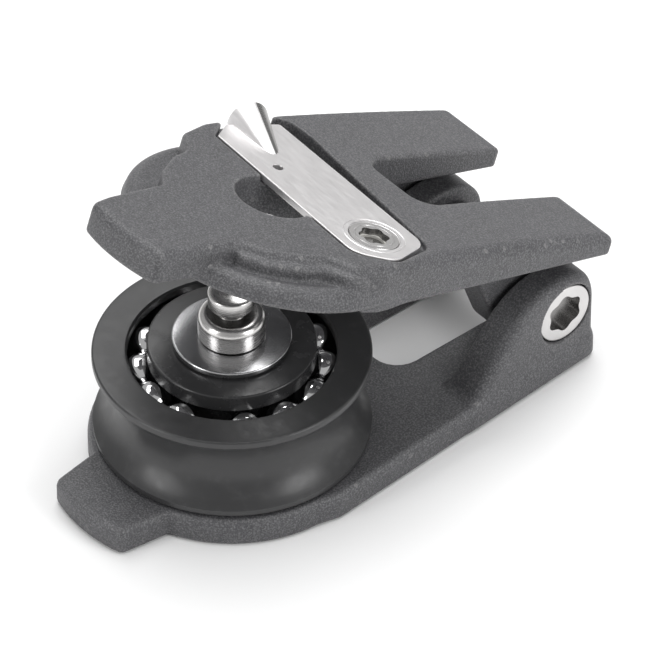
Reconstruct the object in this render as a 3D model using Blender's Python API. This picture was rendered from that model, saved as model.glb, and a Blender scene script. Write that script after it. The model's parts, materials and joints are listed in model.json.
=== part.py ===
"""Single sheave snatch block: two hinged cheeks, a ball-bearing sheave on a post, and a side latch.

Frame: metres, +Z up. The sheave axis is the Z axis, z = 0 is the underside of the lower cheek,
the beaks point to -Y and the hinge pin runs along X at the rear. Sizes below are millimetres.
The upper cheek and its latch are drawn in the closed position and then hung from an empty on the
hinge axis, which opens them by REST_OPENING.
"""
import math

import bmesh
import bpy
from mathutils import Matrix, Vector

MM = 0.001
GAP = 0.3                       # space kept between pieces that touch or seat
SEGMENTS = 36                   # facets around a large turned piece
FINE_SEGMENTS = 24              # facets around a small turned piece

# ---- bearing and sheave
BALL_DIAMETER = 8.5
BALL_COUNT = 13                 # in each of the two rows
BALL_SPACING = 0.15             # between neighbours in a row
ROW_SLACK_ANGLE = 14.2          # degrees of the row left empty
FIRST_BALL_ANGLE = -31.5
RACE_WALL = 0.6                 # from the deepest line of the outer race to the groove floor
GROOVE_DEPTH = 4.55
FLANGE_TIP = 1.7                # thickness of each flange at its rim
SHEAVE_WIDTH = 20.5
SHEAVE_CLEARANCE = 0.4          # under the sheave
SHEAVE_LIP = 2.5                # radial reach of the race opening past the ball centres
FLANGE_CONE = 0.2               # fall of the flange face towards its rim
RING_REACH = 1.5                # radial distance from the ball centres in to the inner race flange
RING_RISE = 2.05                # inner race top above the sheave top
LAND_WIDTH = 0.44               # land between the rows, each race half counted
WASHER_RADIUS = 12.2
WASHER_THICKNESS = 1.45

# ---- post and its nut
POST_RADIUS = 5.5
POST_SHOULDER_RADIUS = 6.9
POST_SHOULDER_HEIGHT = 3.9      # straight part above the washer
POST_SHOULDER_ROUND = 1.7       # rounded top of the shoulder
POST_THREAD_RADIUS = 4.0
NECK_RADIUS = 2.9
HEAD_RADIUS = 4.8
HEAD_STRAIGHT = 3.0
HEAD_DOME = 1.0
POST_NUT_RADIUS = 8.0
POST_NUT_HEIGHT = 3.4
SPANNER_HOLE_RADIUS = 1.0
SPANNER_HOLE_CIRCLE = 6.0

# ---- lower cheek
CHEEK_THICKNESS = 6.2
DISC_MARGIN = 1.1               # disc beyond the sheave rim
BEAK_HALF_FRONT = 10.6
BEAK_HALF_ROOT = 12.15
BEAK_REACH = 9.4                # beak corner ahead of the sheave rim
BEAK_CROWN = 1.6
SIDE_STEP = 1.4                 # side rail beyond the disc
HINGE_Y = 67.0
HINGE_Z = 15.9
EAR_OUTER = 26.4                # half width over the ears
EAR_THICKNESS = 6.7
EAR_RADIUS = 9.2                # the rear face is tangent to it
SLOT_HALF = 9.1
SLOT_START = 35.6
SLOT_CORNER = 5.7
RAMP_START = 40.7               # where the ear starts to rise from the plate
RAMP_ANGLE = 50.0
RAMP_ROUND = 17.0               # between the ramp and the top of the ear

# ---- hinge
AXLE_RADIUS = 3.9
AXLE_BORE = 2.7
BOLT_HEAD_RADIUS = 6.7
BOLT_HEAD_HEIGHT = 3.0
BOLT_SHANK_RADIUS = 2.4
SOCKET_OUTER = 4.7              # over the lobes of the driver socket
SOCKET_INNER = 3.8
SOCKET_DEPTH = 2.2
BOLT_SHANK_LENGTH = 9.0
BUSH_WALL = 1.0
SPACER_RADIUS = 6.0
HINGE_WASHER_THICKNESS = 0.7
HINGE_WASHER_RADIUS = 7.6
KNUCKLE_RADIUS = 9.0
KNUCKLE_START = 41.0            # where the knuckle leaves the underside of the prong
KNUCKLE_ROUND = 8.0             # between its sloping front and its lowest line
KNUCKLE_REAR = 4.0              # rear of its root behind the hinge axis

# ---- upper cheek, closed position
REST_OPENING = 20.0
UNDERSIDE_CLEARANCE = 1.7       # prong underside above the sheave top
PLATE_HEIGHT = 10.0             # prong underside to flat top
TOP_FALL_END = 5.6              # how far the crowned top has dropped at the rear
FLAT_END = 14.0                 # y where the flat top starts to fall
BEAK_THICKNESS = 7.0
UPPER_BEAK_HALF = 10.9
UPPER_BEAK_ROOT = 11.9
UPPER_BEAK_REACH = 12.3
UPPER_SIDE = 29.2               # plateau half width beside the latch
RIM_RADIUS_MARGIN = 1.8         # disc rim beyond the sheave rim
RIM_TOP = 5.6                   # disc rim top above the prong underside
RIM_LIFT = 1.7                  # disc underside above the prong underside
FOOT_START = 1.5                # y where the side walls step down to the foot
FOOT_DROP = 0.6                 # foot below the prong underside
FOOT_END = 9.0
PRONG_OUTER = 26.6
PRONG_END = 75.0
UPPER_SLOT_HALF = 9.3
UPPER_SLOT_START = 33.5
UPPER_SLOT_CORNER = 4.8
HOLE_TOP_CENTRE = (-1.1, 0.4)   # the post hole slants, following the head as it closes
HOLE_TOP_CLEARANCE = 3.4        # around the post head
HOLE_LOW_CENTRE = (0.1, -0.7)
HOLE_LOW_CLEARANCE = 3.0
POCKET_CLEARANCE = 1.3          # around the inner race ring
KNUCKLE_GAP = 0.6               # beside each knuckle face

# ---- latch, closed position
LATCH_THICKNESS = 1.5
LATCH_SWING = 6.2               # degrees
LATCH_PIVOT = (17.85, 11.15)
LATCH_FRONT_EDGE = 3.2          # y of the front edge over the sheave axis
LATCH_REAR_EDGE = 21.9
LATCH_TIP = 27.4
LATCH_END = 9.4                 # rounded end beyond the pivot
LATCH_SLOPE = 0.068             # front edge falls towards the pivot
LATCH_EDGE_GAP = 0.35
WELL_DEPTH = 5.0                # the recess is deeper behind the latch
WELL_FRONT = 19.6
WELL_REACH = 50.0               # out through the far side
WELL_END = 15.0
LATCH_SCREW_RADIUS = 5.2
LATCH_SCREW_CONE = 1.1
SCREW_SHANK_RADIUS = 2.4
SLEEVE_WALL = 0.9
LANYARD_HOLE = (-10.1, 9.4)
LANYARD_HOLE_RADIUS = 1.1
THUMB_APEX = (-14.2, 12.4)
THUMB_TIP = (-27.4, 16.2)
THUMB_HALF_WIDTH = 4.6
THUMB_HEIGHT = 5.2
THUMB_WALL = 1.1
LATCH_NUT_RADIUS = 5.0
LATCH_NUT_HEIGHT = 2.7
SPRING_WIRE = 0.7
SPRING_TURNS = 2.5

# ---- derived places
SHEAVE_BOTTOM = CHEEK_THICKNESS + SHEAVE_CLEARANCE
SHEAVE_TOP = SHEAVE_BOTTOM + SHEAVE_WIDTH
SHEAVE_MIDDLE = SHEAVE_BOTTOM + SHEAVE_WIDTH / 2
BALL_RADIUS = BALL_DIAMETER / 2
BALL_PITCH_ANGLE = (360.0 - ROW_SLACK_ANGLE) / BALL_COUNT
PITCH_RADIUS = (BALL_RADIUS + BALL_SPACING / 2) / math.sin(math.radians(BALL_PITCH_ANGLE / 2))
RACE_RADIUS = BALL_RADIUS + GAP
ROW_OFFSET = BALL_RADIUS + BALL_SPACING     # row centre from the middle of the sheave
RACE_LAND = math.sqrt(RACE_RADIUS ** 2 - (ROW_OFFSET - LAND_WIDTH / 2) ** 2)
GROOVE_FLOOR = PITCH_RADIUS + RACE_RADIUS + RACE_WALL
SHEAVE_RADIUS = GROOVE_FLOOR + GROOVE_DEPTH
RING_RADIUS = PITCH_RADIUS - RING_REACH
RING_TOP = SHEAVE_TOP + RING_RISE
WASHER_TOP = RING_TOP + GAP + WASHER_THICKNESS
UNDERSIDE = SHEAVE_TOP + UNDERSIDE_CLEARANCE
TOP = UNDERSIDE + PLATE_HEIGHT
LATCH_BOTTOM = TOP - LATCH_THICKNESS
HEAD_BOTTOM = TOP + GAP
POST_TOP = HEAD_BOTTOM + HEAD_STRAIGHT + HEAD_DOME
DISC_RADIUS = SHEAVE_RADIUS + DISC_MARGIN
EAR_INNER = EAR_OUTER - EAR_THICKNESS
REAR_Y = HINGE_Y + EAR_RADIUS
BORE_RADIUS = AXLE_RADIUS + GAP
KNUCKLE_INNER = UPPER_SLOT_HALF + KNUCKLE_GAP
HINGE_LEAF_GAP = 2 * GAP + HINGE_WASHER_THICKNESS
KNUCKLE_OUTER = EAR_INNER - HINGE_LEAF_GAP
FAR_EAR = (-KNUCKLE_INNER - EAR_THICKNESS, -KNUCKLE_INNER)
NEAR_EAR = (EAR_INNER, EAR_OUTER)
NEAR_KNUCKLE = (KNUCKLE_INNER, KNUCKLE_OUTER)
FAR_KNUCKLE = (-EAR_OUTER, FAR_EAR[0] - HINGE_LEAF_GAP)
BUSH_RADIUS = BORE_RADIUS + BUSH_WALL

MATERIALS = {
    "nylon_grey": ((0.115, 0.115, 0.120), 0.62, 0.0),
    "acetal_black": ((0.030, 0.030, 0.032), 0.32, 0.0),
    "steel": ((0.62, 0.61, 0.60), 0.22, 1.0),
    "steel_satin": ((0.66, 0.64, 0.63), 0.38, 1.0),
    "spring_steel": ((0.40, 0.40, 0.41), 0.30, 1.0),
    "bush_white": ((0.70, 0.69, 0.66), 0.45, 0.0),
}


# ---------------------------------------------------------------- small modelling tools
def material(name):
    """The material of that name, made the first time it is asked for."""
    found = bpy.data.materials.get(name)
    if found:
        return found
    colour, roughness, metallic = MATERIALS[name]
    made = bpy.data.materials.new(name)
    made.use_nodes = True
    shader = made.node_tree.nodes["Principled BSDF"]
    shader.inputs["Base Color"].default_value = (*colour, 1.0)
    shader.inputs["Roughness"].default_value = roughness
    shader.inputs["Metallic"].default_value = metallic
    made.diffuse_color = (*colour, 1.0)
    return made


def add_object(name, points, faces, finish, parent=None):
    """An object from points in millimetres, faces turned outwards, shaded smooth by angle."""
    mesh = bpy.data.meshes.new(name)
    mesh.from_pydata([Vector(p) * MM for p in points], [], faces)
    work = bmesh.new()
    work.from_mesh(mesh)
    bmesh.ops.remove_doubles(work, verts=work.verts, dist=1e-7)
    bmesh.ops.recalc_face_normals(work, faces=work.faces)
    work.to_mesh(mesh)
    work.free()
    mesh.shade_smooth()
    mesh.set_sharp_from_angle(angle=math.radians(35))
    mesh.materials.append(material(finish))
    thing = bpy.data.objects.new(name, mesh)
    bpy.context.collection.objects.link(thing)
    if parent:
        thing.parent = parent
    return thing


def cyclic_faces(rings, size):
    """Quads between successive rings of equal size, the last ring joined to the first."""
    faces = []
    for i in range(rings):
        for j in range(size):
            a, b = i * size + j, i * size + (j + 1) % size
            c, d = ((i + 1) % rings) * size + (j + 1) % size, ((i + 1) % rings) * size + j
            faces.append((a, b, c, d))
    return faces


def turned(name, profile, finish, centre=(0, 0), segments=SEGMENTS, parent=None):
    """A piece turned about a line along Z; profile is a closed outline of (radius, z).

    A profile that starts and ends at radius 0 is a solid of revolution with poles.
    """
    poles = profile[0][0] == 0 and profile[-1][0] == 0
    body = profile[1:-1] if poles else profile
    points = []
    for j in range(segments):
        turn = 2 * math.pi * j / segments
        points += [(centre[0] + r * math.cos(turn), centre[1] + r * math.sin(turn), z)
                   for r, z in body]
    size = len(body)
    if not poles:
        return add_object(name, points, cyclic_faces(segments, size), finish, parent)
    faces = []
    for j in range(segments):
        k = (j + 1) % segments
        faces += [(j * size + i, j * size + i + 1, k * size + i + 1, k * size + i)
                  for i in range(size - 1)]
    points += [(*centre, profile[0][1]), (*centre, profile[-1][1])]
    first, last = len(points) - 2, len(points) - 1
    for j in range(segments):
        k = (j + 1) % segments
        faces += [(first, j * size, k * size), (last, k * size + size - 1, j * size + size - 1)]
    return add_object(name, points, faces, finish, parent)


def prism(name, outline, low, high, finish, axis="Z", parent=None):
    """An outline swept along an axis. The outline is (x, y) for Z and (y, z) for X."""
    place = {"Z": lambda a, b, c: (a, b, c), "X": lambda a, b, c: (c, a, b)}[axis]
    count = len(outline)
    points = [place(a, b, low) for a, b in outline] + [place(a, b, high) for a, b in outline]
    faces = [tuple(range(count))[::-1], tuple(range(count, 2 * count))]
    faces += [(i, (i + 1) % count, count + (i + 1) % count, count + i) for i in range(count)]
    return add_object(name, points, faces, finish, parent)


def arc(centre, radius, start, end, steps):
    """Points on an arc, angles in degrees, both ends included."""
    angles = [math.radians(start + (end - start) * i / steps) for i in range(steps + 1)]
    return [(centre[0] + radius * math.cos(a), centre[1] + radius * math.sin(a)) for a in angles]


def rounded(corners, steps=4):
    """A closed outline whose corners (x, y, radius) are rounded where the radius is not 0."""
    outline = []
    count = len(corners)
    for i, (x, y, radius) in enumerate(corners):
        here = Vector((x, y))
        if not radius:
            outline.append((x, y))
            continue
        before = (Vector(corners[i - 1][:2]) - here).normalized()
        after = (Vector(corners[(i + 1) % count][:2]) - here).normalized()
        half = before.angle(after) / 2
        reach = radius / math.tan(half)
        middle = here + (before + after).normalized() * (radius / math.sin(half))
        first = here + before * reach - middle
        sweep = first.angle_signed(here + after * reach - middle)
        for step in range(steps + 1):
            turn = Matrix.Rotation(-sweep * step / steps, 2)
            outline.append(tuple(middle + turn @ first))
    return outline


def mirrored(half):
    """A closed outline from its +X half, listed from front to rear."""
    return half + [(-x, y, *rest) for x, y, *rest in reversed(half) if abs(x) > 1e-6]


def circle(centre, radius, steps=FINE_SEGMENTS):
    """A closed round outline."""
    return arc(centre, radius, 0, 360, steps)[:-1]


def lobed(centre, outer, inner, steps=24):
    """A six-lobed driver socket outline."""
    middle, wave = (outer + inner) / 2, (outer - inner) / 2
    outline = []
    for i in range(steps):
        turn = 2 * math.pi * i / steps
        radius = middle + wave * math.cos(6 * turn)
        outline.append((centre[0] + radius * math.cos(turn), centre[1] + radius * math.sin(turn)))
    return outline


def combine(target, tool, operation):
    """Adds an exact Boolean to the target; the tool becomes a hidden guide."""
    modifier = target.modifiers.new(operation.lower() + "_" + tool.name, "BOOLEAN")
    modifier.object = tool
    modifier.operation = operation
    modifier.solver = "EXACT"
    tool.hide_render = True
    tool.display_type = "WIRE"


def cut(target, tool):
    combine(target, tool, "DIFFERENCE")


def join(target, tool):
    combine(target, tool, "UNION")


def keep(target, tool):
    combine(target, tool, "INTERSECT")


# ---------------------------------------------------------------- sheave and bearing
def race_arc(row, start, end, steps=5):
    """The race groove around one row of balls."""
    return arc((PITCH_RADIUS, row), RACE_RADIUS, start, end, steps)


def race_angle(offset):
    """Half angle at which the race groove reaches a radial offset from the ball centres."""
    return math.degrees(math.acos(offset / RACE_RADIUS))


def make_sheave(upper_row, lower_row):
    """The sheave: rope groove outside, two race grooves inside."""
    lip = PITCH_RADIUS + SHEAVE_LIP
    flange = SHEAVE_RADIUS
    half_mouth = SHEAVE_WIDTH / 2 - FLANGE_TIP
    groove_radius = (half_mouth ** 2 + GROOVE_DEPTH ** 2) / (2 * GROOVE_DEPTH)
    groove_angle = math.degrees(math.asin(min(1.0, half_mouth / groove_radius)))
    groove = arc((GROOVE_FLOOR + groove_radius, SHEAVE_MIDDLE), groove_radius,
                 180 - groove_angle, 180 + groove_angle, 6)
    rim = 0.6
    outer = [(lip, SHEAVE_TOP), (flange - rim, SHEAVE_TOP - FLANGE_CONE),
             (flange, SHEAVE_TOP - FLANGE_CONE - rim)]
    outer += groove
    outer += [(flange, SHEAVE_BOTTOM + FLANGE_CONE + rim),
              (flange - rim, SHEAVE_BOTTOM + FLANGE_CONE), (lip, SHEAVE_BOTTOM)]
    reach = race_angle(SHEAVE_LIP)
    inner = race_arc(lower_row, -reach, reach) + race_arc(upper_row, -reach, reach)
    return turned("sheave", outer + inner, "acetal_black")


def make_inner_race(name, row, flange_z, split_z):
    """One half of the inner race: a flange outside the row and a land at the split."""
    side = 1 if flange_z > split_z else -1
    land = PITCH_RADIUS - RACE_LAND
    chamfer = 0.4
    start = 180 + side * race_angle(RACE_LAND)
    end = 180 - side * race_angle(RING_REACH)
    profile = [(POST_RADIUS + GAP, split_z), (land, split_z)]
    profile += race_arc(row, start, end)
    profile += [(RING_RADIUS, flange_z - side * chamfer), (RING_RADIUS - chamfer, flange_z),
                (POST_RADIUS + GAP, flange_z)]
    return turned(name, profile, "acetal_black")


def make_balls(upper_row, lower_row, parent):
    """Two rows of steel balls, each ball an object of its own."""
    work = bmesh.new()
    bmesh.ops.create_uvsphere(work, u_segments=10, v_segments=6, radius=BALL_RADIUS * MM)
    mesh = bpy.data.meshes.new("ball")
    work.to_mesh(mesh)
    work.free()
    mesh.shade_smooth()
    mesh.materials.append(material("steel"))
    for row_name, row, offset in (("upper", upper_row, 0.0), ("lower", lower_row, 0.5)):
        for i in range(BALL_COUNT):
            turn = math.radians(FIRST_BALL_ANGLE + (i + offset) * BALL_PITCH_ANGLE)
            ball = bpy.data.objects.new(f"{row_name}_ball_{i + 1:02d}", mesh)
            ball.location = Vector((PITCH_RADIUS * math.cos(turn),
                                    PITCH_RADIUS * math.sin(turn), row)) * MM
            ball.parent = parent
            bpy.context.collection.objects.link(ball)


def make_washer():
    """The polished washer under the post shoulder."""
    chamfer = 0.35
    low = RING_TOP + GAP
    bore = POST_RADIUS + GAP
    profile = [(bore, low), (WASHER_RADIUS, low), (WASHER_RADIUS, WASHER_TOP - chamfer),
               (WASHER_RADIUS - chamfer, WASHER_TOP), (bore, WASHER_TOP)]
    return turned("race_washer", profile, "steel")


# ---------------------------------------------------------------- post
def make_post():
    """The centre post: thread below, shank through the races, shoulder, neck and domed head."""
    chamfer = 0.5
    thread_top = POST_NUT_HEIGHT + GAP
    shoulder = WASHER_TOP + GAP
    round_start = shoulder + POST_SHOULDER_HEIGHT
    waist = POST_SHOULDER_RADIUS - POST_SHOULDER_ROUND
    neck_low = LATCH_BOTTOM - GAP
    dome_start = HEAD_BOTTOM + HEAD_STRAIGHT
    rise = neck_low - round_start
    profile = [(0, 0), (POST_THREAD_RADIUS - chamfer, 0), (POST_THREAD_RADIUS, chamfer),
               (POST_THREAD_RADIUS, thread_top), (POST_RADIUS, thread_top),
               (POST_RADIUS, shoulder), (POST_SHOULDER_RADIUS, shoulder)]
    for step in range(6):
        turn = math.radians(90 * step / 5)
        profile.append((waist + POST_SHOULDER_ROUND * math.cos(turn),
                        round_start + rise * math.sin(turn)))
    profile += [(NECK_RADIUS, neck_low), (NECK_RADIUS, HEAD_BOTTOM),
                (HEAD_RADIUS - chamfer, HEAD_BOTTOM), (HEAD_RADIUS, HEAD_BOTTOM + chamfer)]
    for step in range(5):
        turn = math.radians(90 * step / 5)
        profile.append((HEAD_RADIUS * math.cos(turn), dome_start + HEAD_DOME * math.sin(turn)))
    profile.append((0, POST_TOP))
    return turned("centre_post", profile, "steel", segments=FINE_SEGMENTS)


def make_post_nut():
    """The flush round nut under the lower cheek, with two spanner holes."""
    bore = POST_THREAD_RADIUS + GAP
    nut = turned("post_nut", [(bore, 0), (POST_NUT_RADIUS, 0), (POST_NUT_RADIUS, POST_NUT_HEIGHT),
                              (bore, POST_NUT_HEIGHT)], "steel_satin", segments=FINE_SEGMENTS)
    for side in (-1, 1):
        hole = prism(f"spanner_hole_{side}", circle((side * SPANNER_HOLE_CIRCLE, 0),
                                                    SPANNER_HOLE_RADIUS, 12),
                     -1, 2, "steel_satin")
        cut(nut, hole)
    return nut


# ---------------------------------------------------------------- lower cheek
def rail_x(y):
    """Half width of the side rail, tapering from the disc to the ears."""
    start = DISC_RADIUS + SIDE_STEP
    return start + (EAR_OUTER - start) * y / REAR_Y


def lower_outline():
    """Plan of the lower cheek without its slot."""
    root_y = -math.sqrt(DISC_RADIUS ** 2 - BEAK_HALF_ROOT ** 2)
    root_angle = math.degrees(math.atan2(root_y, BEAK_HALF_ROOT))
    front = -(SHEAVE_RADIUS + BEAK_REACH)
    half = [(0, front - BEAK_CROWN, 0), (BEAK_HALF_FRONT * 0.55, front - BEAK_CROWN * 0.7, 0),
            (BEAK_HALF_FRONT, front, 1.5)]
    half += [(x, y, 0) for x, y in arc((0, 0), DISC_RADIUS, root_angle, -4, 10)]
    half += [(rail_x(3), 3, 1.5), (rail_x(REAR_Y), REAR_Y, 2.5)]
    return rounded(mirrored(half))


def slot_outline(half, start, corner, end):
    """A slot that is open at the rear."""
    return rounded([(half, start, corner), (half, end, 0), (-half, end, 0), (-half, start, corner)])


def ear_outline():
    """Side view of an ear: a ramp up from the plate and a round end about the hinge axis."""
    top = HINGE_Z + EAR_RADIUS
    corner = RAMP_START + (top - CHEEK_THICKNESS) / math.tan(math.radians(RAMP_ANGLE))
    ramp = rounded([(RAMP_START, 1.0, 0), (RAMP_START, CHEEK_THICKNESS, 0),
                    (corner, top, RAMP_ROUND), (HINGE_Y, top, 0)], 6)
    return ramp + arc((HINGE_Y, HINGE_Z), EAR_RADIUS, 78, 0, 7) + [(REAR_Y, 1.0)]


def make_lower_cheek():
    """Plate, beak, slotted tail and two ears, drilled for the post and the hinge."""
    cheek = prism("lower_cheek", lower_outline(), 0, CHEEK_THICKNESS, "nylon_grey")
    near_ear = prism("ear_near", ear_outline(), NEAR_EAR[0], NEAR_EAR[1] + 6, "nylon_grey",
                     axis="X")
    keep(near_ear, prism("ear_trim", lower_outline(), -1, 40, "nylon_grey"))
    join(cheek, near_ear)
    join(cheek, prism("ear_far", ear_outline(), *FAR_EAR, "nylon_grey", axis="X"))
    cut(cheek, prism("tail_slot", slot_outline(SLOT_HALF, SLOT_START, SLOT_CORNER, REAR_Y + 5),
                     -1, CHEEK_THICKNESS + 1, "nylon_grey"))
    post_hole = [(0, -1), (POST_NUT_RADIUS + GAP, -1), (POST_NUT_RADIUS + GAP,
                                                       POST_NUT_HEIGHT + GAP),
                 (POST_RADIUS + GAP, POST_NUT_HEIGHT + GAP),
                 (POST_RADIUS + GAP, CHEEK_THICKNESS + 1), (0, CHEEK_THICKNESS + 1)]
    cut(cheek, turned("post_hole", post_hole, "nylon_grey", segments=FINE_SEGMENTS))
    cut(cheek, prism("ear_bore", circle((HINGE_Y, HINGE_Z), BORE_RADIUS), -40, 40, "nylon_grey",
                     axis="X"))
    cut(cheek, head_recess("near", 1))
    return cheek


# ---------------------------------------------------------------- hinge hardware
def head_recess(label, side, parent=None):
    """The cutter for a bolt head's recess, sunk from the outside of the hinge."""
    low, high = sorted((side * (EAR_OUTER - BOLT_HEAD_HEIGHT - GAP), side * 40))
    return prism(f"head_recess_{label}", circle((HINGE_Y, HINGE_Z), BOLT_HEAD_RADIUS + GAP),
                 low, high, "nylon_grey", axis="X", parent=parent)


def tube_x(name, outer, bore, low, high, finish, parent=None):
    """A tube along the hinge axis."""
    tube = prism(name, circle((HINGE_Y, HINGE_Z), outer), low, high, finish, axis="X",
                 parent=parent)
    cut(tube, prism(name + "_bore", circle((HINGE_Y, HINGE_Z), bore), low - 1, high + 1, finish,
                    axis="X", parent=parent))
    return tube


def make_hinge(swing):
    """Axle sleeve, the two bolts screwed into it, and the spacer between the knuckles."""
    sleeve_end = EAR_OUTER - BOLT_HEAD_HEIGHT - 2 * GAP
    tube_x("hinge_axle", AXLE_RADIUS, AXLE_BORE, -sleeve_end, sleeve_end, "steel_satin")
    for side, label in ((1, "near"), (-1, "far")):
        face = EAR_OUTER
        low, high = sorted((side * (face - BOLT_HEAD_HEIGHT), side * face))
        bolt = prism(f"hinge_bolt_{label}", circle((HINGE_Y, HINGE_Z), BOLT_HEAD_RADIUS), low,
                     high, "steel", axis="X")
        low, high = sorted((side * (face - BOLT_HEAD_HEIGHT - BOLT_SHANK_LENGTH),
                            side * (face - 1)))
        join(bolt, prism(f"bolt_shank_{label}", circle((HINGE_Y, HINGE_Z), BOLT_SHANK_RADIUS),
                         low, high, "steel", axis="X"))
        low, high = sorted((side * (face - SOCKET_DEPTH), side * (face + 1)))
        cut(bolt, prism(f"bolt_socket_{label}", lobed((HINGE_Y, HINGE_Z), SOCKET_OUTER, SOCKET_INNER), low, high,
                        "steel", axis="X"))
    tube_x("hinge_spacer", SPACER_RADIUS, BORE_RADIUS, -(KNUCKLE_INNER - KNUCKLE_GAP),
           KNUCKLE_INNER - KNUCKLE_GAP, "acetal_black")
    recess_floor = EAR_OUTER - BOLT_HEAD_HEIGHT - 2 * GAP
    washer = HINGE_WASHER_THICKNESS
    tube_x("hinge_bush_near", BUSH_RADIUS, BORE_RADIUS, *NEAR_KNUCKLE, "bush_white", swing)
    tube_x("hinge_bush_far", BUSH_RADIUS, BORE_RADIUS, -recess_floor, FAR_KNUCKLE[1],
           "bush_white", swing)
    for label, start in (("near", KNUCKLE_OUTER + GAP), ("far", FAR_KNUCKLE[1] + GAP)):
        tube_x(f"hinge_washer_{label}", HINGE_WASHER_RADIUS, BORE_RADIUS, start, start + washer,
               "bush_white", swing)


# ---------------------------------------------------------------- upper cheek
def plateau_outline():
    """Plan of the raised top: beak, two stepped lobes each side, then the tapering sides."""
    front = -(SHEAVE_RADIUS + UPPER_BEAK_REACH)
    side = UPPER_SIDE
    half = [(0, front - BEAK_CROWN, 0), (UPPER_BEAK_HALF * 0.55, front - BEAK_CROWN * 0.7, 0),
            (UPPER_BEAK_HALF, front, 2.0),
            (UPPER_BEAK_ROOT, -20.6, 3.0), (16.4, -17.0, 2.0), (20.4, -10.6, 3.0),
            (21.6, -5.6, 2.0), (27.0, -2.0, 4.0), (side, 5.6, 4.0),
            (PRONG_OUTER, PRONG_END, 3.0)]
    return rounded(mirrored(half))


def top_height(y):
    """Height of the crowned top."""
    if y < FLAT_END:
        return TOP
    part = (y - FLAT_END) / (PRONG_END - FLAT_END)
    return TOP - TOP_FALL_END * (0.35 * part + 0.65 * part ** 1.4)


def side_profile():
    """Side view of the upper cheek in (y, z): beak, belly and crowned tail."""
    front = -(SHEAVE_RADIUS + UPPER_BEAK_REACH + BEAK_CROWN + 2)
    beak_end = -math.sqrt(SHEAVE_RADIUS ** 2 - UPPER_BEAK_ROOT ** 2)
    stations = [FLAT_END + (PRONG_END + 2 - FLAT_END) * i / 6 for i in range(7)]
    crown = [(y, top_height(min(y, PRONG_END))) for y in stations]
    belly = [(front, TOP - BEAK_THICKNESS), (beak_end, TOP - BEAK_THICKNESS),
             (beak_end + 1, UNDERSIDE + RIM_LIFT), (FOOT_START, UNDERSIDE + RIM_LIFT),
             (FOOT_START + 1, UNDERSIDE - FOOT_DROP), (FOOT_END, UNDERSIDE - FOOT_DROP),
             (FOOT_END + 4, UNDERSIDE), (PRONG_END + 2, UNDERSIDE)]
    return belly + crown[::-1] + [(front, TOP)]


def make_rim(swing):
    """The lower disc rim that stands out around the plateau."""
    rim = SHEAVE_RADIUS + RIM_RADIUS_MARGIN
    low = UNDERSIDE + RIM_LIFT
    high = UNDERSIDE + RIM_TOP
    profile = [(0, low), (rim, low), (rim, low + 1.6), (rim - 3.4, high), (0, high)]
    return turned("disc_rim", profile, "nylon_grey", parent=swing)


def knuckle_outline():
    """Side view of a knuckle: a slope down from the prong and a round end about the hinge."""
    low = HINGE_Z - KNUCKLE_RADIUS
    high = UNDERSIDE + 2
    corner = KNUCKLE_START + (UNDERSIDE - low) / math.tan(math.radians(RAMP_ANGLE))
    slope = rounded([(KNUCKLE_START, high, 0), (KNUCKLE_START, UNDERSIDE, 0),
                     (corner, low, KNUCKLE_ROUND), (HINGE_Y, low, 0)], 6)
    return slope + arc((HINGE_Y, HINGE_Z), KNUCKLE_RADIUS, -78, 25, 8) + [
        (HINGE_Y + KNUCKLE_REAR, high)]


def slanted_hole(low, parent):
    """The cutter for the post hole, whose centre moves from one place to another with height."""
    below = (*HOLE_LOW_CENTRE, HEAD_RADIUS + HOLE_LOW_CLEARANCE)
    above = (*HOLE_TOP_CENTRE, HEAD_RADIUS + HOLE_TOP_CLEARANCE)
    points = []
    for z in (low - 1, TOP + 3):
        part = (z - low) / (TOP - low)
        x, y, radius = (a + (b - a) * part for a, b in zip(below, above))
        points += [(*at, z) for at in circle((x, y), radius, SEGMENTS)]
    count = SEGMENTS
    faces = [tuple(range(count))[::-1], tuple(range(count, 2 * count))]
    faces += [(i, (i + 1) % count, count + (i + 1) % count, count + i) for i in range(count)]
    return add_object("post_hole_upper", points, faces, "nylon_grey", parent)


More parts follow.
